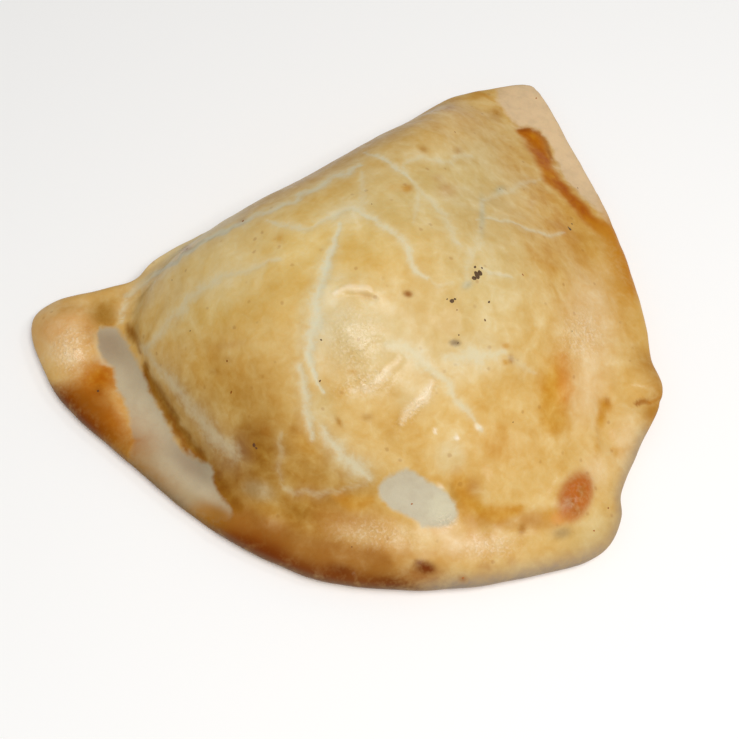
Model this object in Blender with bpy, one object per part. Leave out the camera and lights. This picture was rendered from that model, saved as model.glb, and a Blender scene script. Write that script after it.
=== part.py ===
"""Apple empanada: dough folded over a heap of apple, pressed shut along its deep curved front, and baked.

The folded edge runs along X at the back (+Y). The sealed hem runs from the left ear round the front to
the flap at the right. The empanada is shut, so it is one closed solid. Its origin is the middle of its
footprint, on the flat base that it rests on. Sizes are in millimetres until the mesh is finished, and
centring the finished mesh moves the places given here by less than a millimetre.
"""

import math

import bmesh
import bpy
import numpy as np

MM = 0.001
SEED = 7

# The baked dough: an even golden brown, as sRGB out of 255, under a thin dry glaze.
CRUST_COLOUR = (209, 176, 113)
CRUST_ROUGHNESS = 0.45

# The crown of the belly, and how full the belly is between crown and foot (2 is a plain ellipse).
CROWN = (-3.0, 8.0)
CROWN_HEIGHT = 36.8
FULLNESS = 2.3
# Near the crown the belly's contours are this ellipse, and towards its foot they take the foot's shape.
# A higher fade leaves more of them the ellipse.
HEART = (46.0, 40.0)
HEART_FADE = 1.5

# Stations round the rim, anticlockwise from the right tip. Each holds the widest point of the edge (x, y),
# the foot of the belly inside it (x, y), the height of that widest point, the thickness of the dough at
# the belly's foot, the power of the belly's profile (0.5 is a rolled fold, 1 or more a soft slope), how
# square the hem is (2.5 rolls round to the edge, 4 stays flat nearly as far as it), and how much of the
# crease at the belly's foot is left, from 0 to 1.
RIM = [
    (64.0, 48.0, 53.5, 43.0, 2.6, 5.0, 1.1, 4.0, 0.0),  # right tip of the flap
    (61.0, 52.4, 52.0, 47.0, 2.6, 5.0, 1.0, 4.0, 0.0),
    (47.0, 53.6, 45.0, 51.0, 6.6, 8.2, 0.66, 3.2, 0.0),
    (36.0, 52.6, 35.4, 50.6, 8.6, 10.0, 0.6, 2.5, 0.0),  # folded edge
    (12.0, 49.0, 12.0, 47.0, 9.0, 10.6, 0.56, 2.5, 0.0),
    (-14.0, 48.2, -13.8, 46.2, 9.0, 10.6, 0.56, 2.5, 0.0),
    (-33.0, 48.0, -31.5, 45.0, 7.6, 9.0, 0.6, 2.5, 0.0),
    (-39.0, 47.0, -36.0, 43.8, 5.0, 7.2, 0.68, 3.0, 0.2),
    (-45.0, 49.0, -39.5, 42.6, 3.8, 6.0, 0.75, 3.6, 0.8),  # notch between belly and left ear
    (-57.0, 51.5, -42.0, 40.5, 3.2, 5.6, 0.85, 4.0, 1.0),
    (-62.7, 47.6, -44.6, 37.0, 3.2, 5.8, 0.9, 4.0, 1.0),  # left ear
    (-64.2, 31.0, -46.6, 29.0, 3.2, 5.8, 0.9, 4.0, 1.0),
    (-59.0, 13.6, -47.0, 14.0, 3.0, 5.4, 0.9, 4.0, 1.0),  # pressed hem, left
    (-50.2, -10.0, -43.8, -6.5, 3.2, 6.0, 1.0, 3.5, 0.6),
    (-37.5, -29.2, -31.0, -22.9, 4.0, 7.6, 1.15, 2.6, 0.0),
    (-18.1, -42.8, -14.0, -35.2, 4.0, 8.4, 1.25, 2.5, 0.0),  # front
    (3.0, -50.5, 1.5, -42.6, 3.8, 8.2, 1.3, 2.5, 0.0),
    (13.0, -51.8, 8.4, -42.2, 3.6, 7.6, 1.3, 2.6, 0.0),  # front corner
    (19.6, -48.0, 13.8, -39.0, 3.6, 7.4, 1.3, 2.6, 0.0),
    (22.8, -43.6, 17.0, -36.4, 3.6, 7.4, 1.3, 2.6, 0.0),  # waist beside it
    (31.2, -37.6, 24.4, -30.8, 3.8, 7.8, 1.25, 2.6, 0.0),
    (41.4, -30.8, 33.0, -24.0, 4.4, 8.6, 1.2, 2.5, 0.0),  # pinched nub
    (43.8, -24.0, 36.2, -18.5, 4.6, 9.0, 1.15, 2.5, 0.0),
    (50.5, -10.0, 43.4, -7.5, 4.6, 8.8, 1.15, 2.5, 0.0),  # right side
    (57.7, 12.0, 50.4, 10.5, 3.6, 6.8, 1.15, 3.0, 0.0),
    (61.5, 31.0, 52.8, 28.0, 2.6, 4.8, 1.15, 4.0, 0.0),  # flap
]
EDGE, FOOT = slice(0, 2), slice(2, 4)
EDGE_HEIGHT, LIP_HEIGHT, POWER, SQUARENESS, CREASE = range(4, 9)
SPANS = 80  # places worked out between two stations
TUCK_SHARE = 0.65  # how far the edge tucks under itself, as a share of its height

# Long relief on the skin: how far it stands out (below zero it sinks in), its half-width, and the places
# (x, y) that it runs through.
FOLDS = {
    "trough inside left hem": (-1.4, 2.4, [(-49.5, 38), (-50.2, 30), (-50.8, 15), (-49.2, 3), (-47.6, -6)]),
    "rolled lip of the left hem": (0.7, 2.2, [(-56, 46), (-60, 32), (-56.5, 15), (-51.5, -1), (-47, -11)]),
    "arched wrinkle near the crown": (0.6, 1.4, [(-12.7, 7.8), (-9.6, 6.8), (-6.9, 5.2), (-5.0, 2.2)]),
    "furrow inside the arch": (-0.5, 1.4, [(-12.0, 4.8), (-9.2, 3.8), (-7.6, 1.6)]),
    "furrow below the crown": (-0.5, 1.5, [(-17.1, -6.9), (-15.1, -9.2), (-12.6, -10.2), (-9.1, -9.7)]),
    "wrinkle below the furrow": (0.6, 1.5, [(-13.3, -17.9), (-9.8, -16.6), (-5.3, -15.4)]),
    "rolled front shoulder": (0.7, 3.0, [(-24, -32.5), (-15, -37), (-6, -41), (5, -44.2), (12, -43.5)]),
    "ridge beside the pinch": (0.5, 1.8, [(25.0, -28.5), (22.0, -33.0), (19.0, -37.3), (16.5, -40.8)]),
    "pinch on the right": (-0.8, 1.3, [(29.0, -27.2), (26.6, -30.0), (24.6, -32.2)]),
    "pinch below it": (-0.5, 1.2, [(25.2, -35.6), (25.7, -37.6), (28.5, -37.0)]),
    "crease in the nub": (-0.9, 1.2, [(34.4, -29.6), (36.8, -31.2), (39.4, -32.6)]),
    "crease at the foot of the flap": (-0.5, 2.0, [(45.5, 49), (50, 43), (53, 35), (56, 26), (57, 18)]),
}

# Round relief: how far it stands out, its half-widths along and across, the turn of its length from X in
# degrees, and its middle (x, y).
BUMPS = {
    "left ear": (0.9, 4.5, 4.0, 60, (-57.5, 38.0)),
    "left hem below the ear": (0.5, 3.0, 2.5, 70, (-58.0, 24.0)),
    "front corner blister": (0.9, 3.2, 2.0, 58, (12.9, -40.8)),
    "right blister": (0.6, 5.0, 2.2, 59, (18.9, -24.5)),
    "front bump": (0.8, 2.8, 2.6, 0, (-1.6, -34.0)),
    "dip left of the front bump": (-0.5, 4.0, 2.0, 75, (-7.0, -35.0)),
    "dip right of the front bump": (-0.5, 3.0, 2.0, 30, (3.5, -38.5)),
    "flat pale patch": (-0.4, 7.0, 4.5, -38, (-16.2, -29.1)),
    "nub": (0.9, 3.0, 2.6, 60, (40.8, -27.0)),
    "front edge blister": (0.5, 2.4, 1.8, -20, (-21.0, -38.0)),
}

# Soft lumps of apple under the dough, spread by the seed.
LUMPS = 16
LUMP_HEIGHTS = (-0.7, 0.8)
LUMP_WIDTHS = (5.0, 9.0)
LUMP_SPREAD = 34.0
# The relief is whole where the rise of the skin's normal is over GENTLE, and fades out down to STEEPEST.
STEEPEST = 0.15
GENTLE = 0.6

# How finely the skin is divided: rings of a square grid from the crown to the foot and on to the edge,
# rings under the edge, and one ring on the base.
BELLY_RINGS = 27
TOP_RINGS = 33
UNDER_RINGS = 3
EDGE_POINTS = 8 * TOP_RINGS
BASE_RING_SHARE = 0.5
# How often each point moves towards the middle of its four neighbours, by what share of the way, and over
# how many rings that fades out.
EVENING_PASSES = 45
EVENING_SHARE = 0.5
EVENING_FADE = 6


def closed_spline(stations):
    """Catmull-Rom curve through the stations, one row a place, each row with all their columns."""
    start = np.array(stations)[:, None, :]
    left, end, right = (np.roll(start, shift, axis=0) for shift in (1, -1, -2))
    t = np.linspace(0, 1, SPANS, endpoint=False)[None, :, None]
    curve = 0.5 * (
        2 * start
        + (end - left) * t
        + (2 * left - 5 * start + 4 * end - right) * t**2
        + (3 * start - left - 3 * end + right) * t**3
    )
    return curve.reshape(-1, start.shape[2])


def rim_at(shares):
    """The rim's columns at these shares of the way round its edge, as the last axis."""
    curve = closed_spline(RIM)
    closed = np.vstack([curve, curve[:1]])
    steps = np.linalg.norm(np.diff(closed[:, :2], axis=0), axis=1)
    run = np.concatenate([[0], np.cumsum(steps)]) / steps.sum()
    return np.stack([np.interp(shares, run, column) for column in closed.T], axis=-1)


def square_rings():
    """(ring, share of the way round it) for each point of the square grid that covers the top."""
    i, j = np.mgrid[-TOP_RINGS : TOP_RINGS + 1, -TOP_RINGS : TOP_RINGS + 1]
    ring = np.maximum(abs(i), abs(j))
    step = np.where(j == -ring, 7 * ring + i, 0)
    step = np.where((i == -ring) & (j > -ring), 5 * ring - j, step)
    step = np.where((j == ring) & (i > -ring), 3 * ring - i, step)
    step = np.where((i == ring) & (j < ring) & (j > -ring), ring + j, step)
    share = step % np.maximum(8 * ring, 1) / np.maximum(8 * ring, 1)
    return ring, share


def belly(reach, columns):
    """Points of the belly, from its crown (reach 0) to its foot (reach 1)."""
    lip, power = columns[..., LIP_HEIGHT], columns[..., POWER]
    roll = np.clip(2 * (1 - power), 0, 1)
    reach = reach * (1 - roll) + np.sin(reach * math.pi / 2) * roll
    spoke = columns[..., FOOT] - CROWN
    heart = 1 / np.linalg.norm(spoke / HEART, axis=-1, keepdims=True)
    out = reach[..., None]
    shape = out**HEART_FADE
    plan = CROWN + spoke * out * (shape + (1 - shape) * heart)
    rise = np.clip(1 - reach**FULLNESS, 0, 1) ** power
    return np.dstack([plan, lip + (CROWN_HEIGHT - lip) * rise])


def hem(out, columns):
    """Points of the pressed hem, from the belly's foot (out 0) to the widest point of the edge (out 1)."""
    edge_height, lip = columns[..., EDGE_HEIGHT], columns[..., LIP_HEIGHT]
    out = np.sin(out * math.pi / 2)
    plan = columns[..., FOOT] + (columns[..., EDGE] - columns[..., FOOT]) * out[..., None]
    rounding = np.clip(1 - out ** columns[..., SQUARENESS], 0, 1) ** 0.5
    return np.dstack([plan, edge_height + (lip - edge_height) * rounding])


def evened(points, ring, crease):
    """The top evened out between crown and edge, or between crown and foot where the foot is creased."""
    last = TOP_RINGS - 1 - crease * (TOP_RINGS - BELLY_RINGS)
    weight = EVENING_SHARE * np.clip((last - ring) / EVENING_FADE, 0, 1)[1:-1, 1:-1, None]
    for _ in range(EVENING_PASSES):
        mean = (points[2:, 1:-1] + points[:-2, 1:-1] + points[1:-1, 2:] + points[1:-1, :-2]) / 4
        points[1:-1, 1:-1] += weight * (mean - points[1:-1, 1:-1])
    return points


def top_points():
    """The top of the empanada as a square grid of points, and each point's ring and share."""
    ring, share = square_rings()
    columns = rim_at(share)
    on_belly = belly(np.clip(ring / BELLY_RINGS, 0, 1), columns)
    on_hem = hem(np.clip((ring - BELLY_RINGS) / (TOP_RINGS - BELLY_RINGS), 0, 1), columns)
    points = np.where((ring <= BELLY_RINGS)[..., None], on_belly, on_hem)
    return evened(points, ring, columns[..., CREASE]), ring, share


def under_rings():
    """Rings of points below the edge: tucked under it down to the base, and one on the base."""
    columns = rim_at(np.arange(EDGE_POINTS) / EDGE_POINTS)
    edge, height = columns[:, EDGE], columns[:, EDGE_HEIGHT]
    inwards = np.array(CROWN) - edge
    inwards /= np.linalg.norm(inwards, axis=1, keepdims=True)
    rings = []
    for step in range(1, UNDER_RINGS + 1):
        turn = step / UNDER_RINGS * math.pi / 2
        plan = edge + inwards * (TUCK_SHARE * height * (1 - math.cos(turn)))[:, None]
        rings.append(np.column_stack([plan, height * (1 - math.sin(turn))]))
    base = CROWN + (rings[-1][:, :2] - CROWN) * BASE_RING_SHARE
    rings.append(np.column_stack([base, np.zeros(EDGE_POINTS)]))
    return rings


def distance_to_path(plan, path):
    """How far each place in plan is from a line through the path's places."""
    nearest = np.full(len(plan), np.inf)
    for start, end in zip(np.array(path[:-1], float), np.array(path[1:], float)):
        along = end - start
        t = np.clip((plan - start) @ along / (along @ along), 0, 1)
        gap = np.linalg.norm(plan - start - t[:, None] * along, axis=1)
        nearest = np.minimum(nearest, gap)
    return nearest


def bump_height(plan, height, along, across, turn, middle):
    """A soft round rise (or dip) of this height and these half-widths."""
    turn = math.radians(turn)
    gap = plan - middle
    u = gap[:, 0] * math.cos(turn) + gap[:, 1] * math.sin(turn)
    v = gap[:, 1] * math.cos(turn) - gap[:, 0] * math.sin(turn)
    return height * np.exp(-0.5 * ((u / along) ** 2 + (v / across) ** 2))


def relief_height(plan):
    """How far the relief moves the skin at each place in plan."""
    total = np.zeros(len(plan))
    for height, width, path in FOLDS.values():
        total += height * np.exp(-0.5 * (distance_to_path(plan, path) / width) ** 2)
    for bump in BUMPS.values():
        total += bump_height(plan, *bump)
    random = np.random.default_rng(SEED)
    for _ in range(LUMPS):
        height = random.uniform(*LUMP_HEIGHTS)
        along, across = random.uniform(*LUMP_WIDTHS, size=2)
        middle = CROWN + random.uniform(-LUMP_SPREAD, LUMP_SPREAD, size=2)
        total += bump_height(plan, height, along, across, random.uniform(0, 180), middle)
    return total


def band(mesh, upper, lower):
    """Faces between two closed rings of vertices."""
    for n in range(len(upper)):
        m = (n + 1) % len(upper)
        mesh.faces.new([upper[m], upper[n], lower[n], lower[m]])


def plain_mesh():
    """The whole skin as one closed bmesh, before its relief."""
    mesh = bmesh.new()
    points, ring, share = top_points()
    grid = [[mesh.verts.new(point) for point in row] for row in points]
    size = len(grid)
    for i in range(size - 1):
        for j in range(size - 1):
            mesh.faces.new([grid[i][j], grid[i + 1][j], grid[i + 1][j + 1], grid[i][j + 1]])
    rows, columns = np.nonzero(ring == TOP_RINGS)
    order = np.argsort(share[rows, columns])
    upper = [grid[i][j] for i, j in zip(rows[order], columns[order])]
    for points in under_rings():
        lower = [mesh.verts.new(point) for point in points]
        band(mesh, upper, lower)
        upper = lower
    pole = mesh.verts.new((*CROWN, 0.0))
    for n in range(EDGE_POINTS):
        mesh.faces.new([upper[(n + 1) % EDGE_POINTS], upper[n], pole])
    bmesh.ops.recalc_face_normals(mesh, faces=mesh.faces)
    return mesh


def add_relief(mesh):
    """Moves the skin that faces up along its normals, and leaves the edge and the base as they are."""
    mesh.normal_update()
    points = np.array([vertex.co for vertex in mesh.verts])
    normals = np.array([vertex.normal for vertex in mesh.verts])
    facing_up = np.clip((normals[:, 2] - STEEPEST) / (GENTLE - STEEPEST), 0, 1)
    points += normals * (relief_height(points[:, :2]) * facing_up)[:, None]
    for vertex, point in zip(mesh.verts, points):
        vertex.co = point


def centre_footprint(mesh):
    """Puts the middle of the footprint over the origin."""
    plan = np.array([vertex.co[:2] for vertex in mesh.verts])
    middle = (plan.min(axis=0) + plan.max(axis=0)) / 2
    bmesh.ops.translate(mesh, vec=(-middle[0], -middle[1], 0.0), verts=mesh.verts)


def linear(colour):
    """An sRGB colour out of 255 as the linear RGBA that a material takes."""
    shares = np.array(colour) / 255
    return (*np.where(shares <= 0.04045, shares / 12.92, ((shares + 0.055) / 1.055) ** 2.4), 1.0)


def crust_material():
    material = bpy.data.materials.new("baked dough")
    material.use_nodes = True
    shader = material.node_tree.nodes["Principled BSDF"]
    shader.inputs["Base Color"].default_value = linear(CRUST_COLOUR)
    shader.inputs["Roughness"].default_value = CRUST_ROUGHNESS
    shader.inputs["Metallic"].default_value = 0.0
    return material


def main():
    for obj in list(bpy.data.objects):
        bpy.data.objects.remove(obj)
    mesh = plain_mesh()
    add_relief(mesh)
    centre_footprint(mesh)
    bmesh.ops.scale(mesh, vec=(MM, MM, MM), verts=mesh.verts)
    data = bpy.data.meshes.new("crust")
    mesh.to_mesh(data)
    mesh.free()
    data.shade_smooth()
    data.materials.append(crust_material())
    crust = bpy.data.objects.new("crust", data)
    bpy.context.scene.collection.objects.link(crust)


main()
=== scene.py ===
"""The looks of an apple empanada: a shut, egg-glazed turnover with a split glaze and browned edges.

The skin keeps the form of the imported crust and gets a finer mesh, fine relief, painted tones, and
fields of distance to the splits and the bare dough. The finish reads those tones and fields.
"""

import logging
import math
from collections.abc import Iterable, Sequence
from dataclasses import dataclass, field
from enum import Enum
from itertools import chain
from typing import Any

import bmesh
import bpy
import numpy as np
from mathutils import Matrix, Vector, noise
from mathutils.bvhtree import BVHTree


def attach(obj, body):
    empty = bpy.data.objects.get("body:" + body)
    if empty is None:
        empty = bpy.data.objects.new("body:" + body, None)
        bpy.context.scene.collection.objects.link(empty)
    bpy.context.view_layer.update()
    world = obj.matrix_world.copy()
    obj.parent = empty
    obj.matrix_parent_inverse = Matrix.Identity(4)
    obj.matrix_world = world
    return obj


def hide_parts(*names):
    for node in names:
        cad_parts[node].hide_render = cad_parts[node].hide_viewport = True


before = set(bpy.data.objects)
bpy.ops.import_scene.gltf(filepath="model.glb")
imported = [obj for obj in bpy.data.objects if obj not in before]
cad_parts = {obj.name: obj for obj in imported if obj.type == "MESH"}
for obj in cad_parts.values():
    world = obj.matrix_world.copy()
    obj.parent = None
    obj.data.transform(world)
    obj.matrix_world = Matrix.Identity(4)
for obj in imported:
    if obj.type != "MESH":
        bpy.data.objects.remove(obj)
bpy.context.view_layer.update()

LOG = logging.getLogger("empanada")
MM = 0.001
FAR = 9.0  # millimetres beyond which a field of distance stops counting
TINY = 1e-9  # stands in for a length of nothing in a division
LEAST = 1e-3  # stands in for a share of nothing in a division

Pixel = tuple[float, float]
Span = tuple[float, float]  # where a smooth rise is 0, and where it is 1
Socket = bpy.types.NodeSocket
Spot = tuple[Vector, Vector, float]  # a place, the skin's normal there, and a radius in millimetres


class Tone(Enum):
    """Colours of baked dough and glaze, and of painted highlight and painted shade, as sRGB from 0 to 255.
    """

    # Pale tone laid where the glaze shines: painted highlight.
    PAINTED_GLINT = (244, 226, 196)
    CREAM = (216, 209, 178)
    STRAW = (218, 200, 155)
    PALE_WHEAT = (228, 203, 145)
    WHEAT = (222, 189, 115)
    OLIVE_STRAW = (211, 190, 137)
    GOLD = (213, 175, 106)
    PEACH = (221, 187, 136)
    APRICOT = (224, 180, 122)
    HONEY = (203, 157, 76)
    ORANGE = (207, 160, 88)
    DULL_ORANGE = (190, 141, 78)
    TAN = (176, 134, 60)
    OCHRE = (152, 102, 26)
    AMBER = (196, 139, 42)
    DEEP_AMBER = (170, 116, 38)
    POOLED = (180, 106, 8)
    RUSSET = (178, 110, 58)
    SIENNA = (182, 100, 32)
    CINNAMON = (150, 94, 38)
    BROWN = (150, 84, 10)
    UMBER = (108, 50, 8)
    SCORCHED = (108, 42, 0)
    PLUM = (108, 70, 42)
    CORAL = (216, 146, 68)
    CHAR = (104, 80, 56)
    SLATE = (170, 168, 144)
    DOUGH = (190, 176, 146)
    PATCH_DOUGH = (200, 190, 164)
    ROSE_DOUGH = (222, 192, 150)
    GREY_DOUGH = (156, 137, 112)
    TAN_DOUGH = (162, 134, 88)
    SHADED_DOUGH = (136, 112, 80)
    # Greyed dough tone for the outline: painted shade.
    SHADED_RIM_DOUGH = (150, 134, 116)

    def linear(self) -> tuple[float, float, float, float]:
        """Work out the colour as linear light.

        Returns:
            Red, green and blue from 0 to 1, and full alpha.
        """
        shares = [part / 255 for part in self.value]
        lit = [s / 12.92 if s <= 0.04045 else ((s + 0.055) / 1.055) ** 2.4 for s in shares]
        return (lit[0], lit[1], lit[2], 1.0)


def smooth_step(low: float, high: float, x: np.ndarray) -> np.ndarray:
    """Rise smoothly from 0 at low to 1 at high; low may be the larger one.

    Args:
        low: Where the result is 0.
        high: Where the result is 1.
        x: The values to place between them.

    Returns:
        The eased shares.
    """
    share = np.clip((x - low) / (high - low), 0.0, 1.0)
    return share * share * (3 - 2 * share)


def spline(points: Sequence[Pixel], closed: bool, step: float) -> np.ndarray:
    """Draw a smooth curve through a few points.

    Args:
        points: The points it passes through.
        closed: Whether it returns to the first point.
        step: The distance between the places that it returns.

    Returns:
        Places along the curve, one a row.
    """
    knots = np.array(points, float)
    count = len(knots)
    places: list[np.ndarray] = []
    for i in range(count if closed else count - 1):
        if closed:
            a, b, c, d = (knots[(i + k) % count] for k in (-1, 0, 1, 2))
        else:
            a, b, c, d = knots[max(i - 1, 0)], knots[i], knots[i + 1], knots[min(i + 2, count - 1)]
        steps = max(2, round(float(np.linalg.norm(c - b)) / step))
        for t in np.arange(steps) / steps:
            bend = 2 * a - 5 * b + 4 * c - d
            places.append(0.5 * (2 * b + (c - a) * t + bend * t**2 + (3 * b - a - 3 * c + d) * t**3))
    if not closed:
        places.append(knots[-1])
    return np.array(places)


# ---------------------------------------------------------------------------------------------------
# The view


@dataclass(frozen=True)
class PhotoView:
    """The photograph's view of the object, and the pixels in it."""

    azimuth: float = -30.0
    elevation: float = 62.0
    distance: float = 263.6 * MM
    target: tuple[float, float, float] = (-8.416 * MM, -0.038 * MM, 12.0 * MM)
    lens: float = 65.0
    sensor: float = 36.0
    pixels: int = 739

    @property
    def back(self) -> Vector:
        """Give the direction from the target to the camera.

        Returns:
            A unit vector.
        """
        turn, rise = math.radians(self.azimuth), math.radians(self.elevation)
        flat = math.cos(rise)
        return Vector((math.sin(turn) * flat, -math.cos(turn) * flat, math.sin(rise)))

    @property
    def place(self) -> Vector:
        """Give the camera's place."""
        return Vector(self.target) + self.back * self.distance

    @property
    def axes(self) -> tuple[Vector, Vector]:
        """Give the directions that are right and up in the picture."""
        right = (-self.back).cross(Vector((0, 0, 1))).normalized()
        return right, right.cross(-self.back)

    @property
    def slope(self) -> float:
        """Give how far a ray leans for each pixel from the middle."""
        return self.sensor / self.lens / self.pixels

    @property
    def pixel_mm(self) -> float:
        """Give the millimetres that one pixel spans at the target."""
        return self.slope * self.distance / MM

    def ray(self, pixel: Sequence[float]) -> Vector:
        """Give the direction in which a pixel looks.

        Args:
            pixel: Its column and row.

        Returns:
            A unit vector from the camera.
        """
        right, up = self.axes
        across, down = ((value - self.pixels / 2) * self.slope for value in pixel)
        return (-self.back + right * across - up * down).normalized()

    def project(self, points: np.ndarray) -> np.ndarray:
        """Find where points show in the picture.

        Args:
            points: Places in metres, one a row.

        Returns:
            Their pixels, one a row.
        """
        right, up = self.axes
        offset = points - np.array(self.place)
        depth = offset @ -np.array(self.back)
        across = offset @ np.array(right) / depth / self.slope
        down = offset @ -np.array(up) / depth / self.slope
        return np.stack([across, down], 1) + self.pixels / 2

    def make_camera(self) -> None:
        """Put a camera there and make it the scene's own."""
        data = bpy.data.cameras.new("photo_view")
        data.lens, data.sensor_width = self.lens, self.sensor
        data.clip_start, data.clip_end = 0.01, 20.0
        camera = bpy.data.objects.new("photo_view", data)
        right, up = self.axes
        turned = Matrix((right, up, self.back)).transposed().to_4x4()
        camera.matrix_world = Matrix.Translation(self.place) @ turned
        bpy.context.scene.collection.objects.link(camera)
        bpy.context.scene.camera = camera


VIEW = PhotoView()


# ---------------------------------------------------------------------------------------------------
# What is seen on the skin, placed by pixels of the photograph


@dataclass(frozen=True)
class Line:
    """Something that follows a path over the skin.

    Args:
        path: Pixels that it passes through.
        width: Half its width in millimetres.
        strength: How strongly it shows, from 0 to 1.
        swell: Shares of the width along the path, evenly spaced, or none for an even line.
    """

    path: tuple[Pixel, ...]
    width: float
    strength: float = 1.0
    swell: tuple[float, ...] = ()


@dataclass(frozen=True)
class Stroke:
    """A soft line of colour: its line and its tone."""

    line: Line
    tone: Tone


@dataclass(frozen=True)
class Ridge:
    """A wrinkle: its line, and its rise in millimetres, less than 0 for a crease."""

    line: Line
    rise: float


@dataclass(frozen=True)
class Oval:
    """A soft oval place on the skin.

    Args:
        centre: The pixel at its middle.
        size: Its half length and half width in pixels.
        turn: The angle of its length, in degrees clockwise from the row of pixels.
        amount: How much of something it has at the middle; its table says of what.
        crispness: How suddenly it ends.
    """

    centre: Pixel
    size: Pixel
    turn: float
    amount: float
    crispness: float = 2.4


@dataclass(frozen=True)
class Wash:
    """A soft oval of colour.

    Args:
        centre: The pixel at its middle.
        size: Its half length and half width in pixels.
        turn: The angle of its length, in degrees clockwise from the row of pixels.
        tone: Its colour.
        strength: How far the colour replaces what is there, at the middle.
        crispness: How suddenly it ends.
    """

    centre: Pixel
    size: Pixel
    turn: float
    tone: Tone
    strength: float
    crispness: float = 2.4


@dataclass(frozen=True)
class Rim:
    """A tone that starts at the crust's outline and fades inwards.

    Args:
        start: The angle round the picture's middle where it begins, in degrees clockwise from the right.
        end: The angle where it ends.
        reach: How far in it goes, in pixels.
        tone: Its colour.
        strength: How far the colour replaces what is there, at the outline.
    """

    start: float
    end: float
    reach: float
    tone: Tone
    strength: float


@dataclass(frozen=True)
class Fleck:
    """A tiny baked speck: its pixel, its radius in millimetres and its colour."""

    pixel: Pixel
    radius: float
    tone: Tone = Tone.CHAR


# Where the glaze has split, along the paths in the picture.
SPLITS: dict[str, Line] = {
    "crown split": Line(
        (
            (340, 224), (336, 238), (329, 260), (321, 280), (317, 294), (318, 308), (315, 325),
            (310, 340), (308, 354), (313, 367), (319, 380), (322, 393),
        ),
        1.25, 1.0, (0.3, 0.5, 0.75, 0.95, 0.8, 1.0, 1.1, 1.0, 0.6, 0.4, 0.25),
    ),
    "crown split, low": Line(((301, 366), (303, 384), (306, 404), (309, 422), (311, 440)), 0.95, 0.8),
    "towards the bare patch": Line(
        ((322, 428), (330, 440), (340, 452), (352, 464), (368, 478)), 1.5, 0.8,
        (0.5, 0.8, 1.1, 1.1, 0.5),
    ),
    "arc above the crown": Line(
        ((268, 221), (285, 226), (302, 230), (317, 224), (332, 215), (347, 209), (362, 212)),
        0.8, 0.6,
    ),
    "arc, falling": Line(
        ((362, 212), (377, 222), (395, 235), (406, 247), (412, 262), (420, 275), (427, 279)),
        0.8, 0.75,
    ),
    "arc's tip": Line(((427, 279), (438, 286), (450, 283)), 0.6, 0.3),
    "arc's spur": Line(((362, 212), (362, 195), (361, 173)), 0.9, 0.35),
    "off the fold": Line(((363, 153), (383, 158), (398, 167), (412, 180)), 0.65, 0.75),
    "off the fold, falling": Line(
        ((412, 180), (427, 197), (440, 210), (453, 233), (460, 245)), 0.9, 0.45,
    ),
    "off the fold, right": Line(((402, 167), (412, 159), (433, 158), (453, 160), (473, 153)), 0.8, 0.4),
    "off the fold, down": Line(((420, 190), (418, 204), (413, 222)), 0.7, 0.35),
    "along the fold": Line(
        ((363, 164), (338, 176), (310, 190), (284, 205), (262, 214), (230, 227), (207, 239)),
        1.15, 0.8,
    ),
    "down the neck": Line(
        ((207, 242), (185, 255), (163, 269), (146, 281), (130, 294), (123, 308), (118, 322)),
        0.8, 0.6,
    ),
    "long left split": Line(
        ((278, 258), (250, 269), (230, 275), (208, 286), (192, 296), (180, 308), (165, 325), (148, 350)),
        1.4, 0.5, (0.4, 0.5, 0.6, 0.9, 1.1, 1.2, 1.0, 0.5),
    ),
    "beside the toe": Line(
        ((142, 346), (156, 365), (172, 384), (187, 402), (201, 420), (217, 438), (232, 452)),
        1.7, 0.5, (0.5, 0.6, 0.9, 1.0, 1.1, 1.2, 1.2),
    ),
    "right of the crown": Line(
        ((386, 343), (408, 348), (422, 360), (435, 372), (447, 383), (460, 402), (474, 421), (481, 430)),
        1.1, 0.62, (0.8, 1.1, 1.1, 0.9, 0.8, 0.6, 0.5, 0.3),
    ),
    "level split": Line(
        ((443, 357), (465, 357), (485, 354), (505, 352)), 1.3, 0.6, (0.4, 0.8, 1.2, 0.9, 0.3),
    ),
    "level split, tip": Line(((505, 354), (520, 364), (538, 372)), 0.7, 0.3),
    "grey split": Line(((481, 200), (482, 217), (474, 243), (468, 270), (464, 288)), 0.9, 0.28),
    "grey split, top": Line(((483, 200), (503, 193), (520, 185), (540, 180)), 0.8, 0.4),
    "right top split": Line(
        ((476, 219), (494, 219), (513, 222), (530, 228), (547, 235), (566, 232)),
        0.6, 0.55,
    ),
    "short split": Line(((484, 268), (497, 274), (514, 277)), 0.7, 0.55),
    "loop, falling": Line(((282, 432), (280, 455), (281, 487)), 0.6, 0.22),
    "loop, level": Line(((284, 490), (303, 493), (330, 492), (345, 489), (368, 485)), 0.7, 0.3),
}
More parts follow.
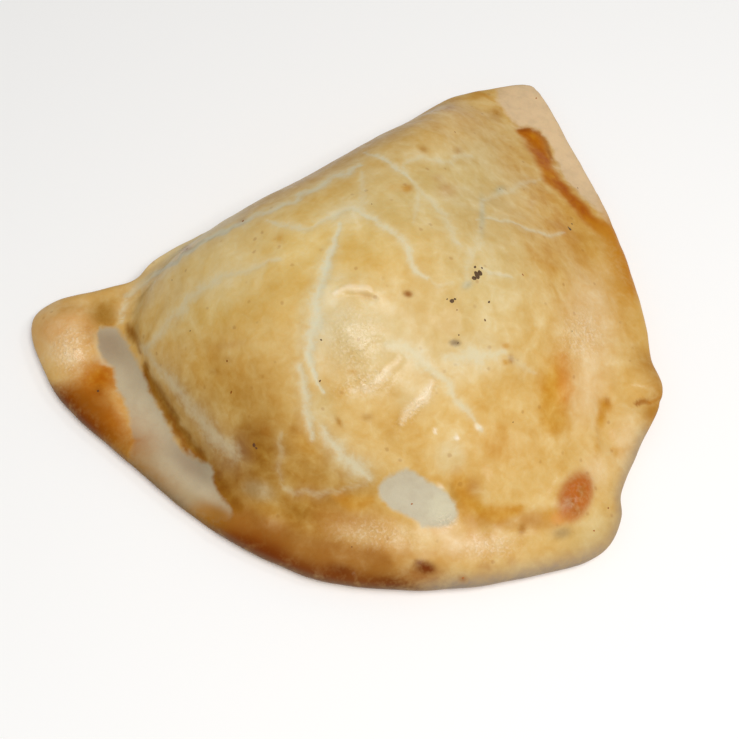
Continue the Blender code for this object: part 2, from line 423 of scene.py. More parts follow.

# Soft lines of colour in the glaze, laid over the washes in this order; the pale wrinkle lines are painted
# highlight and the shaded fold is painted shade.
STROKES: dict[str, Stroke] = {
    "rolled front shoulder": Stroke(
        Line(
            ((228, 514), (248, 528), (270, 540), (296, 550), (324, 558), (352, 563), (388, 568)),
            3.4, 0.7,
        ),
        Tone.CINNAMON,
    ),
    "left trough, inner side": Stroke(
        Line(
            (
                (145, 366), (150, 379), (157, 392), (167, 409), (176, 424), (184, 437), (193, 449),
                (203, 460),
            ),
            1.8, 0.95,
        ),
        Tone.OCHRE,
    ),
    "left trough, towards the front": Stroke(
        Line(((201, 460), (211, 471), (219, 482), (227, 496), (240, 510)), 1.7, 0.85),
        Tone.OCHRE,
    ),
    "left trough, darkest line": Stroke(
        Line(((168, 416), (178, 432), (190, 449), (204, 463)), 0.7, 0.45),
        Tone.BROWN,
    ),
    "left trough, upper end": Stroke(Line(((127, 324), (133, 336), (140, 352)), 1.0, 0.6), Tone.OCHRE),
    "pool beside the flap": Stroke(
        Line(
            (
                (521, 131), (533, 139), (540, 152), (545, 165), (552, 180), (563, 192), (577, 205),
                (592, 219), (606, 232),
            ),
            2.5, 1.0, (0.4, 1.2, 1.05, 0.9, 0.75, 0.75, 0.85, 0.9, 1.0),
        ),
        Tone.POOLED,
    ),
    "pool, baked edge": Stroke(
        Line(((518, 131), (530, 130), (542, 136), (549, 147), (551, 158)), 0.8, 0.55),
        Tone.BROWN,
    ),
    "left corner, bare lip": Stroke(
        Line(((99, 334), (97, 345), (101, 358), (108, 368)), 0.9, 0.4),
        Tone.CREAM,
    ),
    "end of the fold": Stroke(Line(((452, 102), (468, 97), (486, 96), (498, 103)), 0.9, 0.6), Tone.AMBER),
    "creased nub": Stroke(Line(((636, 404), (642, 402), (650, 403)), 0.8, 0.75), Tone.BROWN),
    "creased nub, tip": Stroke(Line(((650, 403), (656, 401), (661, 398)), 0.7, 0.6), Tone.POOLED),
    "below the flap": Stroke(Line(((528, 248), (541, 262), (556, 272)), 1.8, 0.35), Tone.AMBER),
    # Pale lines along the tops of wrinkles: painted highlight.
    "wrinkle right of the crown, lit": Stroke(
        Line(((402, 424), (409, 411), (420, 400), (432, 384)), 0.9, 0.4),
        Tone.PAINTED_GLINT,
    ),
    "wrinkle below the crown, lit": Stroke(
        Line(((350, 391), (366, 389), (380, 381), (392, 370), (400, 360)), 0.8, 0.3),
        Tone.PAINTED_GLINT,
    ),
    "wrinkle above the crown, lit": Stroke(
        Line(((334, 293), (346, 288), (358, 287), (373, 291)), 0.7, 0.45),
        Tone.PAINTED_GLINT,
    ),
    "right of the bare patch, falling": Stroke(
        Line(((456, 470), (466, 492), (478, 508)), 1.8, 0.6),
        Tone.AMBER,
    ),
    "right of the bare patch, level": Stroke(
        Line(((478, 512), (500, 516), (520, 508)), 1.5, 0.75),
        Tone.AMBER,
    ),
    "left of the bare patch": Stroke(Line(((336, 498), (352, 502), (372, 500)), 1.7, 0.6), Tone.AMBER),
    "shaded fold": Stroke(
        Line(((126, 296), (142, 282), (160, 270), (192, 249), (222, 232), (250, 219)), 0.9, 0.5),
        Tone.SLATE,
    ),
}

# Swellings and dents of the skin, in millimetres.
BUMPS: dict[str, Oval] = {
    "left corner": Oval((72, 333), (32, 25), 10, 2.0),
    "blister": Oval((574, 496), (15, 24), 20, 0.6, 3.5),
    "drop, right": Oval((478, 428), (3, 3), 0, 0.2),
    "drop, left": Oval((457, 438), (3, 3), 0, 0.2),
    "right side": Oval((558, 385), (15, 30), 5, 0.3),
    "front": Oval((495, 487), (20, 15), 10, 0.35),
    "creased nub": Oval((650, 402), (14, 4), 0, -0.3),
}

# Where the glaze dried in glossy grains, as shares; there the finish also lays pale grains of painted
# highlight.
PEBBLED: dict[str, Oval] = {
    "crown": Oval((358, 340), (26, 34), 0, 0.85),
    "below the crown": Oval((368, 382), (32, 14), -12, 0.9),
    "right of the crown": Oval((418, 404), (28, 7), -48, 1.0),
    "left corner": Oval((72, 352), (17, 22), 10, 1.0),
    "blister": Oval((574, 496), (13, 22), 20, 0.15),
    "right side": Oval((582, 335), (22, 26), 0, 0.8),
    "front hem, right": Oval((490, 546), (30, 13), -6, 0.8),
    "front hem, left": Oval((378, 534), (40, 13), 5, 0.7),
    "below the bare patch": Oval((446, 522), (14, 9), 0, 0.8),
}

# Where the glaze shines less, as shares.
DULL: dict[str, Oval] = {
    "below the crown": Oval((410, 382), (24, 20), 0, 0.75),
    "right of the crown": Oval((398, 325), (14, 26), -30, 0.5),
    "left of the blister": Oval((558, 512), (14, 11), 0, 0.9),
}

# Wrinkles and creases of the skin.
RIDGES: dict[str, Ridge] = {
    "pinch at the right": Ridge(Line(((595, 430), (595, 450), (591, 470)), 0.8), 0.15),
    "above the crown": Ridge(Line(((334, 292), (345, 288), (358, 288), (374, 293)), 0.55), 0.3),
    "dent under that": Ridge(Line(((350, 295), (362, 297), (376, 299)), 0.7), -0.25),
    "below the crown": Ridge(Line(((360, 388), (376, 383), (390, 373), (402, 360)), 0.7), 0.28),
    "below the crown, upper": Ridge(Line(((348, 384), (362, 376), (376, 371)), 0.6), 0.2),
    "right of the crown": Ridge(
        Line(((400, 424), (408, 412), (418, 402), (428, 392), (434, 384)), 0.8),
        0.35,
    ),
    "on the crown": Ridge(Line(((352, 352), (366, 342), (380, 338)), 0.6), 0.15),
    "on the crown, lower": Ridge(Line(((342, 366), (352, 360)), 0.6), 0.18),
}

# Dough that the glaze missed, as closed outlines.
BARE: dict[str, tuple[Pixel, ...]] = {
    "patch on the front": (
        (378, 490), (384, 481), (397, 474), (412, 471), (427, 480), (440, 491), (453, 500), (458, 513),
        (451, 524), (433, 527), (413, 519), (393, 509), (384, 501),
    ),
    "flap": (
        (498, 94), (502, 104), (508, 116), (517, 127), (531, 128), (544, 134), (552, 146), (553, 160),
        (562, 173), (572, 187), (588, 203), (604, 217), (616, 228), (640, 210), (600, 110), (540, 60),
        (500, 70),
    ),
    "trough": (
        (97, 347), (98, 333), (108, 327), (119, 329), (133, 353), (143, 374), (148, 388), (157, 407),
        (169, 430), (180, 447), (196, 460), (211, 468), (214, 483), (223, 499), (232, 511), (226, 524),
        (204, 534), (150, 496), (128, 470), (134, 440), (132, 420), (123, 403), (117, 387), (114, 367),
        (104, 359),
    ),
}

# The glaze's colours, laid over gold in this order.
WASHES: dict[str, tuple[Wash, ...]] = {
    "belly": (
        Wash((330, 250), (140, 60), -25, Tone.WHEAT, 0.8),
        Wash((440, 185), (120, 48), -20, Tone.OLIVE_STRAW, 0.75),
        Wash((480, 280), (60, 75), 0, Tone.OLIVE_STRAW, 0.75),
        Wash((372, 335), (58, 55), 0, Tone.STRAW, 0.75),
        Wash((455, 352), (55, 28), 5, Tone.STRAW, 0.45),
        Wash((300, 235), (55, 25), -25, Tone.WHEAT, 0.7),
        Wash((190, 316), (62, 26), -20, Tone.WHEAT, 0.8),
        Wash((212, 262), (78, 30), -28, Tone.PALE_WHEAT, 0.85),
    ),
    "along the fold": (
        Wash((455, 128), (60, 16), -18, Tone.HONEY, 0.3),
    ),
    "left flank": (
        Wash((205, 376), (52, 36), 45, Tone.HONEY, 0.85),
        Wash((188, 402), (18, 40), -35, Tone.TAN, 0.7),
        Wash((245, 415), (50, 42), 30, Tone.TAN, 0.5),
    ),
    "front, left of the bare patch": (
        Wash((288, 486), (72, 50), 15, Tone.TAN, 0.9),
        Wash((292, 470), (60, 34), 5, Tone.DEEP_AMBER, 0.35),
        Wash((222, 470), (28, 42), -25, Tone.OCHRE, 0.75),
        Wash((258, 456), (24, 28), 0, Tone.OCHRE, 0.7),
        Wash((310, 440), (16, 20), 0, Tone.AMBER, 0.5),
        Wash((306, 492), (20, 14), 0, Tone.DEEP_AMBER, 0.6),
        Wash((316, 520), (56, 24), 10, Tone.DEEP_AMBER, 0.75),
        Wash((268, 512), (24, 14), 25, Tone.HONEY, 0.35),
        Wash((238, 522), (30, 16), 35, Tone.OCHRE, 0.6),
        Wash((352, 522), (34, 16), 5, Tone.DULL_ORANGE, 0.7),
        Wash((300, 552), (56, 12), 20, Tone.OCHRE, 0.5),
        Wash((372, 556), (58, 14), 3, Tone.DULL_ORANGE, 0.85),
        Wash((392, 530), (30, 12), 10, Tone.PEACH, 0.5),
        Wash((362, 482), (30, 20), 0, Tone.TAN, 0.5),
    ),
    "right side": (
        Wash((550, 215), (32, 66), -20, Tone.HONEY, 0.45),
        Wash((514, 156), (20, 22), 0, Tone.HONEY, 0.6),
        Wash((590, 320), (32, 60), 0, Tone.PEACH, 0.8),
        Wash((586, 392), (24, 40), 0, Tone.PEACH, 0.7),
        Wash((586, 240), (18, 34), -35, Tone.HONEY, 0.85),
        Wash((628, 300), (13, 44), -8, Tone.HONEY, 0.5),
        Wash((553, 270), (24, 26), 0, Tone.HONEY, 0.55),
        Wash((555, 393), (17, 42), 0, Tone.AMBER, 0.9),
    ),
    "front, towards the right": (
        Wash((500, 445), (36, 22), 0, Tone.ORANGE, 0.6),
        Wash((470, 502), (15, 32), -5, Tone.AMBER, 0.7),
        Wash((520, 520), (48, 10), 0, Tone.DULL_ORANGE, 0.7),
        Wash((470, 556), (50, 10), -5, Tone.ORANGE, 0.5),
        Wash((625, 440), (14, 30), 10, Tone.PEACH, 0.6),
    ),
    "left corner": (
        Wash((62, 330), (40, 30), -10, Tone.APRICOT, 0.95),
        # Paler where the left corner shines: painted highlight.
        Wash((68, 354), (15, 22), -10, Tone.PEACH, 0.7),
        Wash((64, 312), (30, 9), -18, Tone.ORANGE, 0.7),
        Wash((104, 316), (14, 20), 0, Tone.TAN, 0.95),
        Wash((126, 296), (16, 10), -40, Tone.TAN, 0.6),
        Wash((102, 376), (20, 20), 20, Tone.POOLED, 0.95),
        Wash((112, 422), (22, 12), 55, Tone.POOLED, 0.9),
        Wash((97, 394), (7, 7), 0, Tone.BROWN, 0.5),
        Wash((92, 402), (28, 12), 42, Tone.BROWN, 0.8),
        Wash((86, 405), (22, 8), 42, Tone.UMBER, 0.5),
        Wash((119, 405), (6, 18), -10, Tone.APRICOT, 0.5),
        Wash((122, 308), (8, 10), 0, Tone.ORANGE, 0.6),
        # A pale touch on the left corner's top: painted highlight.
        Wash((75, 353), (13, 17), 0, Tone.PAINTED_GLINT, 0.15),
        Wash((94, 382), (20, 14), 30, Tone.POOLED, 0.8),
        Wash((103, 316), (12, 14), 0, Tone.OCHRE, 0.5),
        Wash((89, 338), (8, 13), 0, Tone.DULL_ORANGE, 0.6),
    ),
    "front hem and beside the bare patch": (
        Wash((480, 546), (36, 12), -5, Tone.PEACH, 0.8),
        Wash((440, 528), (16, 9), 0, Tone.PEACH, 0.8),
        Wash((454, 494), (8, 14), -20, Tone.TAN, 0.5),
        Wash((376, 550), (30, 9), 0, Tone.ORANGE, 0.6),
        Wash((380, 541), (24, 8), 8, Tone.PEACH, 0.6),
        Wash((345, 530), (18, 8), -5, Tone.PEACH, 0.4),
        Wash((452, 546), (12, 15), 0, Tone.PEACH, 0.5),
    ),
    "touches on the belly": (
        Wash((336, 318), (22, 44), 0, Tone.CREAM, 0.35),
        Wash((322, 408), (14, 22), 0, Tone.OLIVE_STRAW, 0.55),
        Wash((348, 212), (28, 12), -15, Tone.CREAM, 0.3),
        Wash((238, 288), (36, 18), -15, Tone.PALE_WHEAT, 0.7),
        Wash((416, 395), (20, 20), 0, Tone.STRAW, 0.4),
    ),
    "touches on the left front": (
        Wash((254, 448), (26, 18), 0, Tone.OCHRE, 0.35),
        Wash((250, 452), (18, 22), 0, Tone.OCHRE, 0.5),
        Wash((273, 527), (13, 9), 20, Tone.APRICOT, 0.6),
        Wash((298, 512), (14, 11), 0, Tone.OCHRE, 0.6),
    ),
    "touches at the right": (
        Wash((596, 470), (14, 20), 0, Tone.PEACH, 0.6),
        Wash((592, 534), (36, 22), -30, Tone.OLIVE_STRAW, 0.6),
        Wash((556, 210), (22, 46), -32, Tone.AMBER, 0.45),
    ),
}

# The bare dough's colours, laid in this order; the dough is real, and its greys in the trough and on the
# hem's outer edge are painted shade of the crease.
DOUGH_WASHES: dict[str, Wash] = {
    "patch on the front": Wash((420, 500), (60, 40), 0, Tone.PATCH_DOUGH, 1.0),
    "patch, right end": Wash((442, 508), (18, 16), 0, Tone.CREAM, 0.6),
    # Greys in the trough's crease: painted shade.
    "trough, upper end": Wash((108, 345), (18, 22), 0, Tone.GREY_DOUGH, 0.95),
    "trough, middle": Wash((132, 372), (12, 30), -25, Tone.GREY_DOUGH, 0.4),
    "trough, lower end": Wash((190, 464), (32, 11), 42, Tone.GREY_DOUGH, 0.85),
    "hem beside the trough": Wash((140, 448), (26, 12), 45, Tone.TAN_DOUGH, 0.45),
    # Darker along the hem's outer edge: painted shade.
    "hem, outer edge": Wash((150, 477), (60, 8), 41, Tone.SHADED_DOUGH, 0.4),
    "hem, lower end": Wash((200, 506), (32, 9), 36, Tone.TAN_DOUGH, 0.6),
    "trough, shade at the top": Wash((122, 352), (12, 14), -30, Tone.SHADED_DOUGH, 0.25),
    "trough, tip": Wash((218, 514), (18, 8), 25, Tone.OCHRE, 0.8),
}

# Browning that starts at the outline, laid in this order; the grey dough tones along the lower outline are
# painted shade.
RIMS: dict[str, tuple[Rim, ...]] = {
    "front": (
        Rim(84, 142, 29, Tone.DEEP_AMBER, 0.8),
        Rim(92, 139, 20, Tone.CINNAMON, 0.85),
        Rim(120, 134, 25, Tone.BROWN, 0.75),
        Rim(118, 134, 18, Tone.SCORCHED, 0.95),
        Rim(84, 128, 15, Tone.UMBER, 0.95),
        Rim(102, 136, 12, Tone.SCORCHED, 0.7),
        Rim(74, 92, 13, Tone.PLUM, 0.6),
    ),
    # Greyer at the outline of the right front corner: painted shade.
    "right front corner": (
        Rim(38, 80, 14, Tone.SHADED_RIM_DOUGH, 0.85),
        Rim(14, 38, 9, Tone.SHADED_RIM_DOUGH, 0.65),
    ),
    "right side": (
        Rim(-4, 14, 16, Tone.DEEP_AMBER, 0.75),
        Rim(326, 347, 24, Tone.AMBER, 0.85),
        Rim(326, 346, 13, Tone.POOLED, 0.5),
        Rim(346, 360, 10, Tone.HONEY, 0.6),
    ),
    "folded edge": (
        Rim(256, 292, 10, Tone.TAN, 0.55),
        Rim(222, 258, 8, Tone.TAN, 0.5),
        Rim(198, 226, 10, Tone.CREAM, 0.35),
    ),
    "left corner": (
        Rim(178, 199, 12, Tone.ORANGE, 0.5),
        Rim(161, 175, 30, Tone.POOLED, 0.75),
        Rim(160, 174, 22, Tone.BROWN, 0.9),
        Rim(163, 174, 16, Tone.SCORCHED, 0.95),
    ),
    "hem beside the trough": (
        Rim(150, 162, 18, Tone.OCHRE, 0.75),
        Rim(143, 153, 9, Tone.SHADED_DOUGH, 0.7),
        Rim(134, 145, 16, Tone.OCHRE, 0.75),
    ),
    # Greyer along the lowest edge of the outline: painted shade.
    "lowest edge": (
        Rim(84, 176, 5, Tone.SHADED_DOUGH, 0.5),
    ),
}

# Browned places, and painted shade below the blister, laid over the rims in this order.
TOAST: dict[str, tuple[Wash, ...]] = {
    "front edge": (
        Wash((420, 574), (26, 10), -4, Tone.CINNAMON, 0.8),
        Wash((341, 571), (15, 7), 15, Tone.UMBER, 0.8),
        Wash((388, 582), (20, 5), 4, Tone.UMBER, 0.7),
        Wash((424, 567), (11, 7), 10, Tone.UMBER, 0.75, 3.5),
        Wash((428, 568), (7, 5), 0, Tone.SCORCHED, 0.6),
        Wash((418, 562), (4, 3), 0, Tone.SCORCHED, 0.5),
        Wash((463, 579), (5, 4), 0, Tone.CINNAMON, 0.6),
    ),
    "blister": (
        Wash((554, 515), (13, 9), -20, Tone.AMBER, 0.7, 4.0),
        Wash((562, 517), (12, 8), -20, Tone.CORAL, 0.6, 4.0),
        Wash((575, 497), (17, 26), 20, Tone.RUSSET, 0.9, 6.0),
        Wash((576, 496), (14, 23), 20, Tone.SIENNA, 0.9, 4.0),
        Wash((569, 503), (6, 6), 0, Tone.BROWN, 0.65),
        Wash((580, 492), (4, 6), 0, Tone.BROWN, 0.5),
        Wash((576, 511), (6, 4), 0, Tone.BROWN, 0.4),
    ),
    "left corner": (
        Wash((99, 390), (5, 6), 0, Tone.UMBER, 0.3),
    ),
    "below the blister": (
        # Darker below the blister: painted shade.
        Wash((562, 533), (10, 6), -15, Tone.SHADED_DOUGH, 0.55),
    ),
}

# Small marks in the glaze, laid over the strokes in this order; the glints are painted highlight.
SPOTS: dict[str, tuple[Wash, ...]] = {
    "pinch at the right": (
        Wash((605, 405), (8, 8), 20, Tone.AMBER, 0.85, 3.0),
        Wash((601, 420), (5, 12), 8, Tone.AMBER, 0.85, 3.0),
        Wash((607, 401), (3, 4), 0, Tone.BROWN, 0.4),
        Wash((597, 451), (3, 9), 0, Tone.AMBER, 0.5),
        Wash((614, 452), (7, 4), 40, Tone.AMBER, 0.5),
        Wash((626, 449), (7, 3), -30, Tone.AMBER, 0.4),
    ),
    "creased nub": (
        Wash((654, 412), (9, 6), 0, Tone.DEEP_AMBER, 0.5),
    ),
    "amber stain at the right": (
        Wash((561, 364), (10, 14), 0, Tone.CORAL, 0.35),
        Wash((563, 390), (11, 19), 0, Tone.CORAL, 0.6),
        Wash((548, 395), (9, 32), 8, Tone.AMBER, 0.6, 3.0),
        Wash((557, 424), (15, 11), 0, Tone.AMBER, 0.6, 3.0),
        Wash((552, 412), (13, 14), 0, Tone.HONEY, 0.5),
    ),
    "along the fold": (
        Wash((496, 113), (8, 7), 0, Tone.DEEP_AMBER, 0.5),
        Wash((450, 107), (6, 4), -20, Tone.DEEP_AMBER, 0.5),
        Wash((423, 150), (5, 4), 0, Tone.DEEP_AMBER, 0.5),
        Wash((457, 151), (5, 4), 0, Tone.DEEP_AMBER, 0.45),
        Wash((280, 239), (4, 6), 0, Tone.HONEY, 0.6),
        Wash((242, 221), (6, 3), -30, Tone.BROWN, 0.6),
        Wash((187, 249), (6, 3), -30, Tone.BROWN, 0.6),
    ),
    "below the fold": (
        Wash((407, 188), (6, 4), 0, Tone.AMBER, 0.7),
        Wash((396, 187), (10, 4), 5, Tone.HONEY, 0.5),
        Wash((447, 190), (11, 8), 0, Tone.DULL_ORANGE, 0.5),
        Wash((438, 178), (6, 4), 0, Tone.DULL_ORANGE, 0.35),
        Wash((532, 203), (4, 7), 0, Tone.DULL_ORANGE, 0.5),
    ),
    "left flank": (
        Wash((132, 333), (7, 9), 0, Tone.OCHRE, 0.7),
        Wash((154, 388), (8, 12), -25, Tone.OCHRE, 0.5),
        Wash((228, 360), (4, 4), 0, Tone.DEEP_AMBER, 0.5),
        Wash((214, 372), (5, 4), 0, Tone.DEEP_AMBER, 0.4),
        Wash((230, 345), (16, 4), -8, Tone.DULL_ORANGE, 0.3),
        Wash((267, 431), (6, 6), 0, Tone.DEEP_AMBER, 0.6),
        Wash((294, 430), (5, 6), 0, Tone.DEEP_AMBER, 0.5),
    ),
    "round the crown": (
        Wash((352, 372), (5, 3), 0, Tone.AMBER, 0.5),
        Wash((367, 296), (8, 3), 8, Tone.DULL_ORANGE, 0.5),
        Wash((388, 297), (8, 5), 0, Tone.HONEY, 0.4),
        Wash((408, 294), (5, 3.5), 10, Tone.CINNAMON, 0.8, 3.5),
        Wash((339, 422), (3, 6), -35, Tone.DEEP_AMBER, 0.75),
        Wash((367, 417), (6, 4), 0, Tone.DEEP_AMBER, 0.6),
        Wash((382, 424), (6, 4), 0, Tone.AMBER, 0.5),
    ),
    "right of the crown": (
        Wash((506, 346), (4, 3), 0, Tone.AMBER, 0.85),
        Wash((511, 359), (3, 5), 0, Tone.DEEP_AMBER, 0.85),
        Wash((505, 362), (3, 3), 0, Tone.AMBER, 0.8),
        Wash((450, 457), (16, 17), 0, Tone.STRAW, 0.6, 3.5),
    ),
    "grey places": (
        Wash((500, 190), (6, 4), -20, Tone.SLATE, 0.5),
        Wash((482, 216), (3, 20), 0, Tone.SLATE, 0.5),
        Wash((467, 285), (6, 4), -30, Tone.SLATE, 0.6),
        Wash((455, 343), (6, 3.5), 5, Tone.SHADED_DOUGH, 0.85, 3.5),
    ),
    # Pale spots where small drops and the front shine: painted highlight.
    "glints": (
        Wash((478, 427), (4, 3), 20, Tone.PAINTED_GLINT, 0.9, 4.0),
        Wash((457, 438), (2.5, 3), 0, Tone.PAINTED_GLINT, 0.8, 4.0),
        Wash((435, 431), (2, 3), 0, Tone.PAINTED_GLINT, 0.7, 4.0),
        Wash((440, 487), (4, 3), 0, Tone.PAINTED_GLINT, 0.5, 4.0),
        Wash((353, 574), (2, 4), 0, Tone.PAINTED_GLINT, 0.5, 4.0),
    ),
    "front": (
        Wash((258, 491), (17, 11), 20, Tone.SLATE, 0.3, 3.0),
        Wash((292, 518), (4, 6), 20, Tone.DEEP_AMBER, 0.6),
        Wash((473, 488), (8, 9), 0, Tone.DULL_ORANGE, 0.7),
        Wash((522, 529), (4, 6), 20, Tone.DEEP_AMBER, 0.8),
        Wash((486, 566), (9, 5), 0, Tone.DULL_ORANGE, 0.6),
        Wash((512, 562), (6, 5), 0, Tone.DULL_ORANGE, 0.5),
    ),
}

# Baked specks, each by its own pixel.
FLECKS: dict[str, tuple[Fleck, ...]] = {
    "largest cluster": (
        Fleck((477, 275), 0.95), Fleck((474, 278), 0.6), Fleck((480, 273), 0.6), Fleck((475, 267), 0.35),
        Fleck((482, 268), 0.25),
    ),
    "left of the largest cluster": (
        Fleck((452, 301), 0.48), Fleck((455, 299), 0.25), Fleck((447, 299), 0.22),
        Fleck((457, 310), 0.18, Tone.BROWN),
    ),
    "below the largest cluster": (
        Fleck((489, 302), 0.3), Fleck((485, 320), 0.26, Tone.PLUM),
    ),
    "right of the crown": (
        Fleck((505, 245), 0.2, Tone.PLUM), Fleck((458, 343), 0.22), Fleck((459, 335), 0.16, Tone.PLUM),
    ),
    "round the crown": (
        Fleck((372, 204), 0.18, Tone.BROWN), Fleck((321, 340), 0.2), Fleck((320, 381), 0.22, Tone.PLUM),
    ),
    "left flank": (
        Fleck((190, 331), 0.2, Tone.PLUM), Fleck((227, 361), 0.22, Tone.BROWN),
        Fleck((231, 392), 0.32, Tone.BROWN), Fleck((254, 445), 0.42, Tone.PLUM),
        Fleck((256, 448), 0.28, Tone.PLUM), Fleck((172, 280), 0.18, Tone.PLUM),
    ),
    "beside the pool": (
        Fleck((570, 229), 0.45), Fleck((568, 227), 0.25), Fleck((572, 224), 0.22),
        Fleck((578, 188), 0.22),
    ),
    "elsewhere on the right": (
        Fleck((455, 132), 0.18, Tone.BROWN), Fleck((523, 275), 0.34, Tone.RUSSET),
        Fleck((500, 189), 0.22, Tone.PLUM), Fleck((572, 331), 0.2), Fleck((513, 422), 0.2, Tone.PLUM),
    ),
    "front": (
        Fleck((608, 508), 0.26, Tone.RUSSET), Fleck((594, 531), 0.22, Tone.RUSSET),
        Fleck((463, 578), 0.3, Tone.RUSSET), Fleck((412, 504), 0.22, Tone.RUSSET),
        Fleck((352, 547), 0.18, Tone.PLUM),
    ),
    "flap": (
        Fleck((536, 98), 0.3, Tone.RUSSET),
    ),
    "left corner": (
        Fleck((98, 391), 0.3, Tone.PLUM),
    ),
    "along the fold": (
        Fleck((187, 249), 0.3, Tone.BROWN), Fleck((243, 221), 0.3, Tone.BROWN),
    ),
}


# ---------------------------------------------------------------------------------------------------
# Shader graphs


@dataclass(frozen=True)
class Pattern:
    """A cloudy pattern.

    Args:
        size: The rough size of one cloud in millimetres.
        detail: How many finer layers it has.
        warp: How far it is distorted.
    """

    size: float
    detail: float = 2.0
    warp: float = 0.0


class Graph:
    """A material's node tree, with short calls for the nodes that the finishes use."""

    def __init__(self, name: str) -> None:
        """Start an empty material.

        Args:
            name: The material's name.
        """
        self.material = bpy.data.materials.new(name)
        self.material.use_nodes = True
        self.nodes = self.material.node_tree.nodes
        self.links = self.material.node_tree.links
        self.nodes.clear()

    def add(self, kind: str, **settings: Any) -> bpy.types.Node:
        """Add one node.

        Args:
            kind: The node's type, without its ShaderNode prefix.
            **settings: Values for the node's own properties.

        Returns:
            The node.
        """
        node = self.nodes.new("ShaderNode" + kind)
        for name, value in settings.items():
            setattr(node, name, value)
        return node

    def feed(self, socket: Socket, value: Any) -> None:
        """Link a socket to another, or set it to a plain value.

        Args:
            socket: The input to feed.
            value: An output socket, or a value that the input takes.
        """
        if isinstance(value, bpy.types.NodeSocket):
            self.links.new(value, socket)
        else:
            socket.default_value = value

    def math(self, operation: str, a: Any, b: Any, clamp: bool = False) -> Socket:
        """Work out one sum of two values.

        Args:
            operation: The sum's name.
            a: The first value.
            b: The second value.
            clamp: Whether the result is kept from 0 to 1.

        Returns:
            The result's socket.
        """
        node = self.add("Math", operation=operation, use_clamp=clamp)
        self.feed(node.inputs[0], a)
        self.feed(node.inputs[1], b)
        return node.outputs[0]

    def total(self, *parts: tuple[Any, float]) -> Socket:
        """Add up values, each times its own weight.

        Args:
            *parts: Pairs of a value and its weight.

        Returns:
            The sum's socket.
        """
        result: Any = None
        for value, weight in parts:
            node = self.add("Math", operation="MULTIPLY_ADD")
            self.feed(node.inputs[0], value)
            node.inputs[1].default_value = weight
            self.feed(node.inputs[2], 0.0 if result is None else result)
            result = node.outputs[0]
        return result

    def ease(self, value: Any, low: float, high: float, top: float = 1.0) -> Socket:
        """Rise smoothly from 0 at low to top at high; low may be the larger one.

        Args:
            value: The value to place between them.
            low: Where the result is 0.
            high: Where the result is top.
            top: The largest result.

        Returns:
            The result's socket.
        """
        node = self.add("MapRange", interpolation_type="SMOOTHSTEP")
        self.feed(node.inputs["Value"], value)
        turned = low > high
        node.inputs["From Min"].default_value = min(low, high)
        node.inputs["From Max"].default_value = max(low, high)
        node.inputs["To Min"].default_value = top if turned else 0.0
        node.inputs["To Max"].default_value = 0.0 if turned else top
        return node.outputs["Result"]

    def mix(self, share: Any, a: Any, b: Any, mode: str = "MIX") -> Socket:
        """Mix two colours.

        Args:
            share: How much of the second one is used.
            a: The first colour.
            b: The second colour.
            mode: The way of mixing.

        Returns:
            The mixed colour's socket.
        """
        node = self.add("Mix", data_type="RGBA", blend_type=mode)
        self.feed(node.inputs[0], share)
        self.feed(node.inputs[6], a)
        self.feed(node.inputs[7], b)
        return node.outputs[2]

    def place(self) -> Socket:
        """Read the object's own coordinates.

        Returns:
            The coordinates in millimetres.
        """
        node = self.add("VectorMath", operation="SCALE")
        self.feed(node.inputs[0], self.add("TexCoord").outputs["Object"])
        node.inputs["Scale"].default_value = 1 / MM
        return node.outputs[0]

    def noise(self, place: Socket, pattern: Pattern) -> Socket:
        """Give a cloudy pattern around 0, from about -0.5 to 0.5.

        Args:
            place: The coordinates in millimetres.
            pattern: The pattern's sizes.

        Returns:
            The pattern's socket.
        """
        node = self.add("TexNoise")
        self.feed(node.inputs["Vector"], place)
        node.inputs["Scale"].default_value = 1 / pattern.size
        node.inputs["Detail"].default_value = pattern.detail
        node.inputs["Distortion"].default_value = pattern.warp
        return self.math("SUBTRACT", node.outputs[0], 0.5)

    def cells(self, place: Socket, size: float, feature: str = "F1") -> bpy.types.Node:
        """Add a pattern of cells.

        Args:
            place: The coordinates in millimetres.
            size: The rough size of one cell in millimetres.
            feature: What the pattern measures.

        Returns:
            The pattern's node.
        """
        node = self.add("TexVoronoi", feature=feature)
        self.feed(node.inputs["Vector"], place)
        node.inputs["Scale"].default_value = 1 / size
        return node

    def warped(self, place: Socket, scale: float, shift: float) -> Socket:
        """Shift coordinates slowly to and fro.

        Args:
            place: The coordinates in millimetres.
            scale: How fast the shift changes.
            shift: Its largest size in millimetres.

        Returns:
            The shifted coordinates.
        """
        wobble = self.add("TexNoise")
        self.feed(wobble.inputs["Vector"], place)
        wobble.inputs["Scale"].default_value = scale
        node = self.add("VectorMath", operation="MULTIPLY_ADD")
        self.feed(node.inputs[0], wobble.outputs["Color"])
        node.inputs[1].default_value = (shift, shift, shift)
        self.feed(node.inputs[2], place)
        return node.outputs[0]

    def grey(self, value: Socket) -> Socket:
        """Make a grey.

        Args:
            value: Its brightness.

        Returns:
            The grey's socket.
        """
        node = self.add("CombineColor")
        for socket in node.inputs:
            self.feed(socket, value)
        return node.outputs[0]

    def field(self, name: str) -> Socket:
        """Read a plain field stored on the skin."""
        return self.add("Attribute", attribute_name=name).outputs["Fac"]

    def colour_field(self, name: str) -> Socket:
        """Read a colour stored on the skin."""
        return self.add("Attribute", attribute_name=name).outputs["Color"]

    def bump(self, height: Socket) -> Socket:
        """Turn a height into a normal.

        Args:
            height: The height in millimetres.

        Returns:
            The normal's socket.
        """
        node = self.add("Bump")
        node.inputs["Strength"].default_value = 1.0
        node.inputs["Distance"].default_value = MM
        self.feed(node.inputs["Height"], height)
        return node.outputs["Normal"]

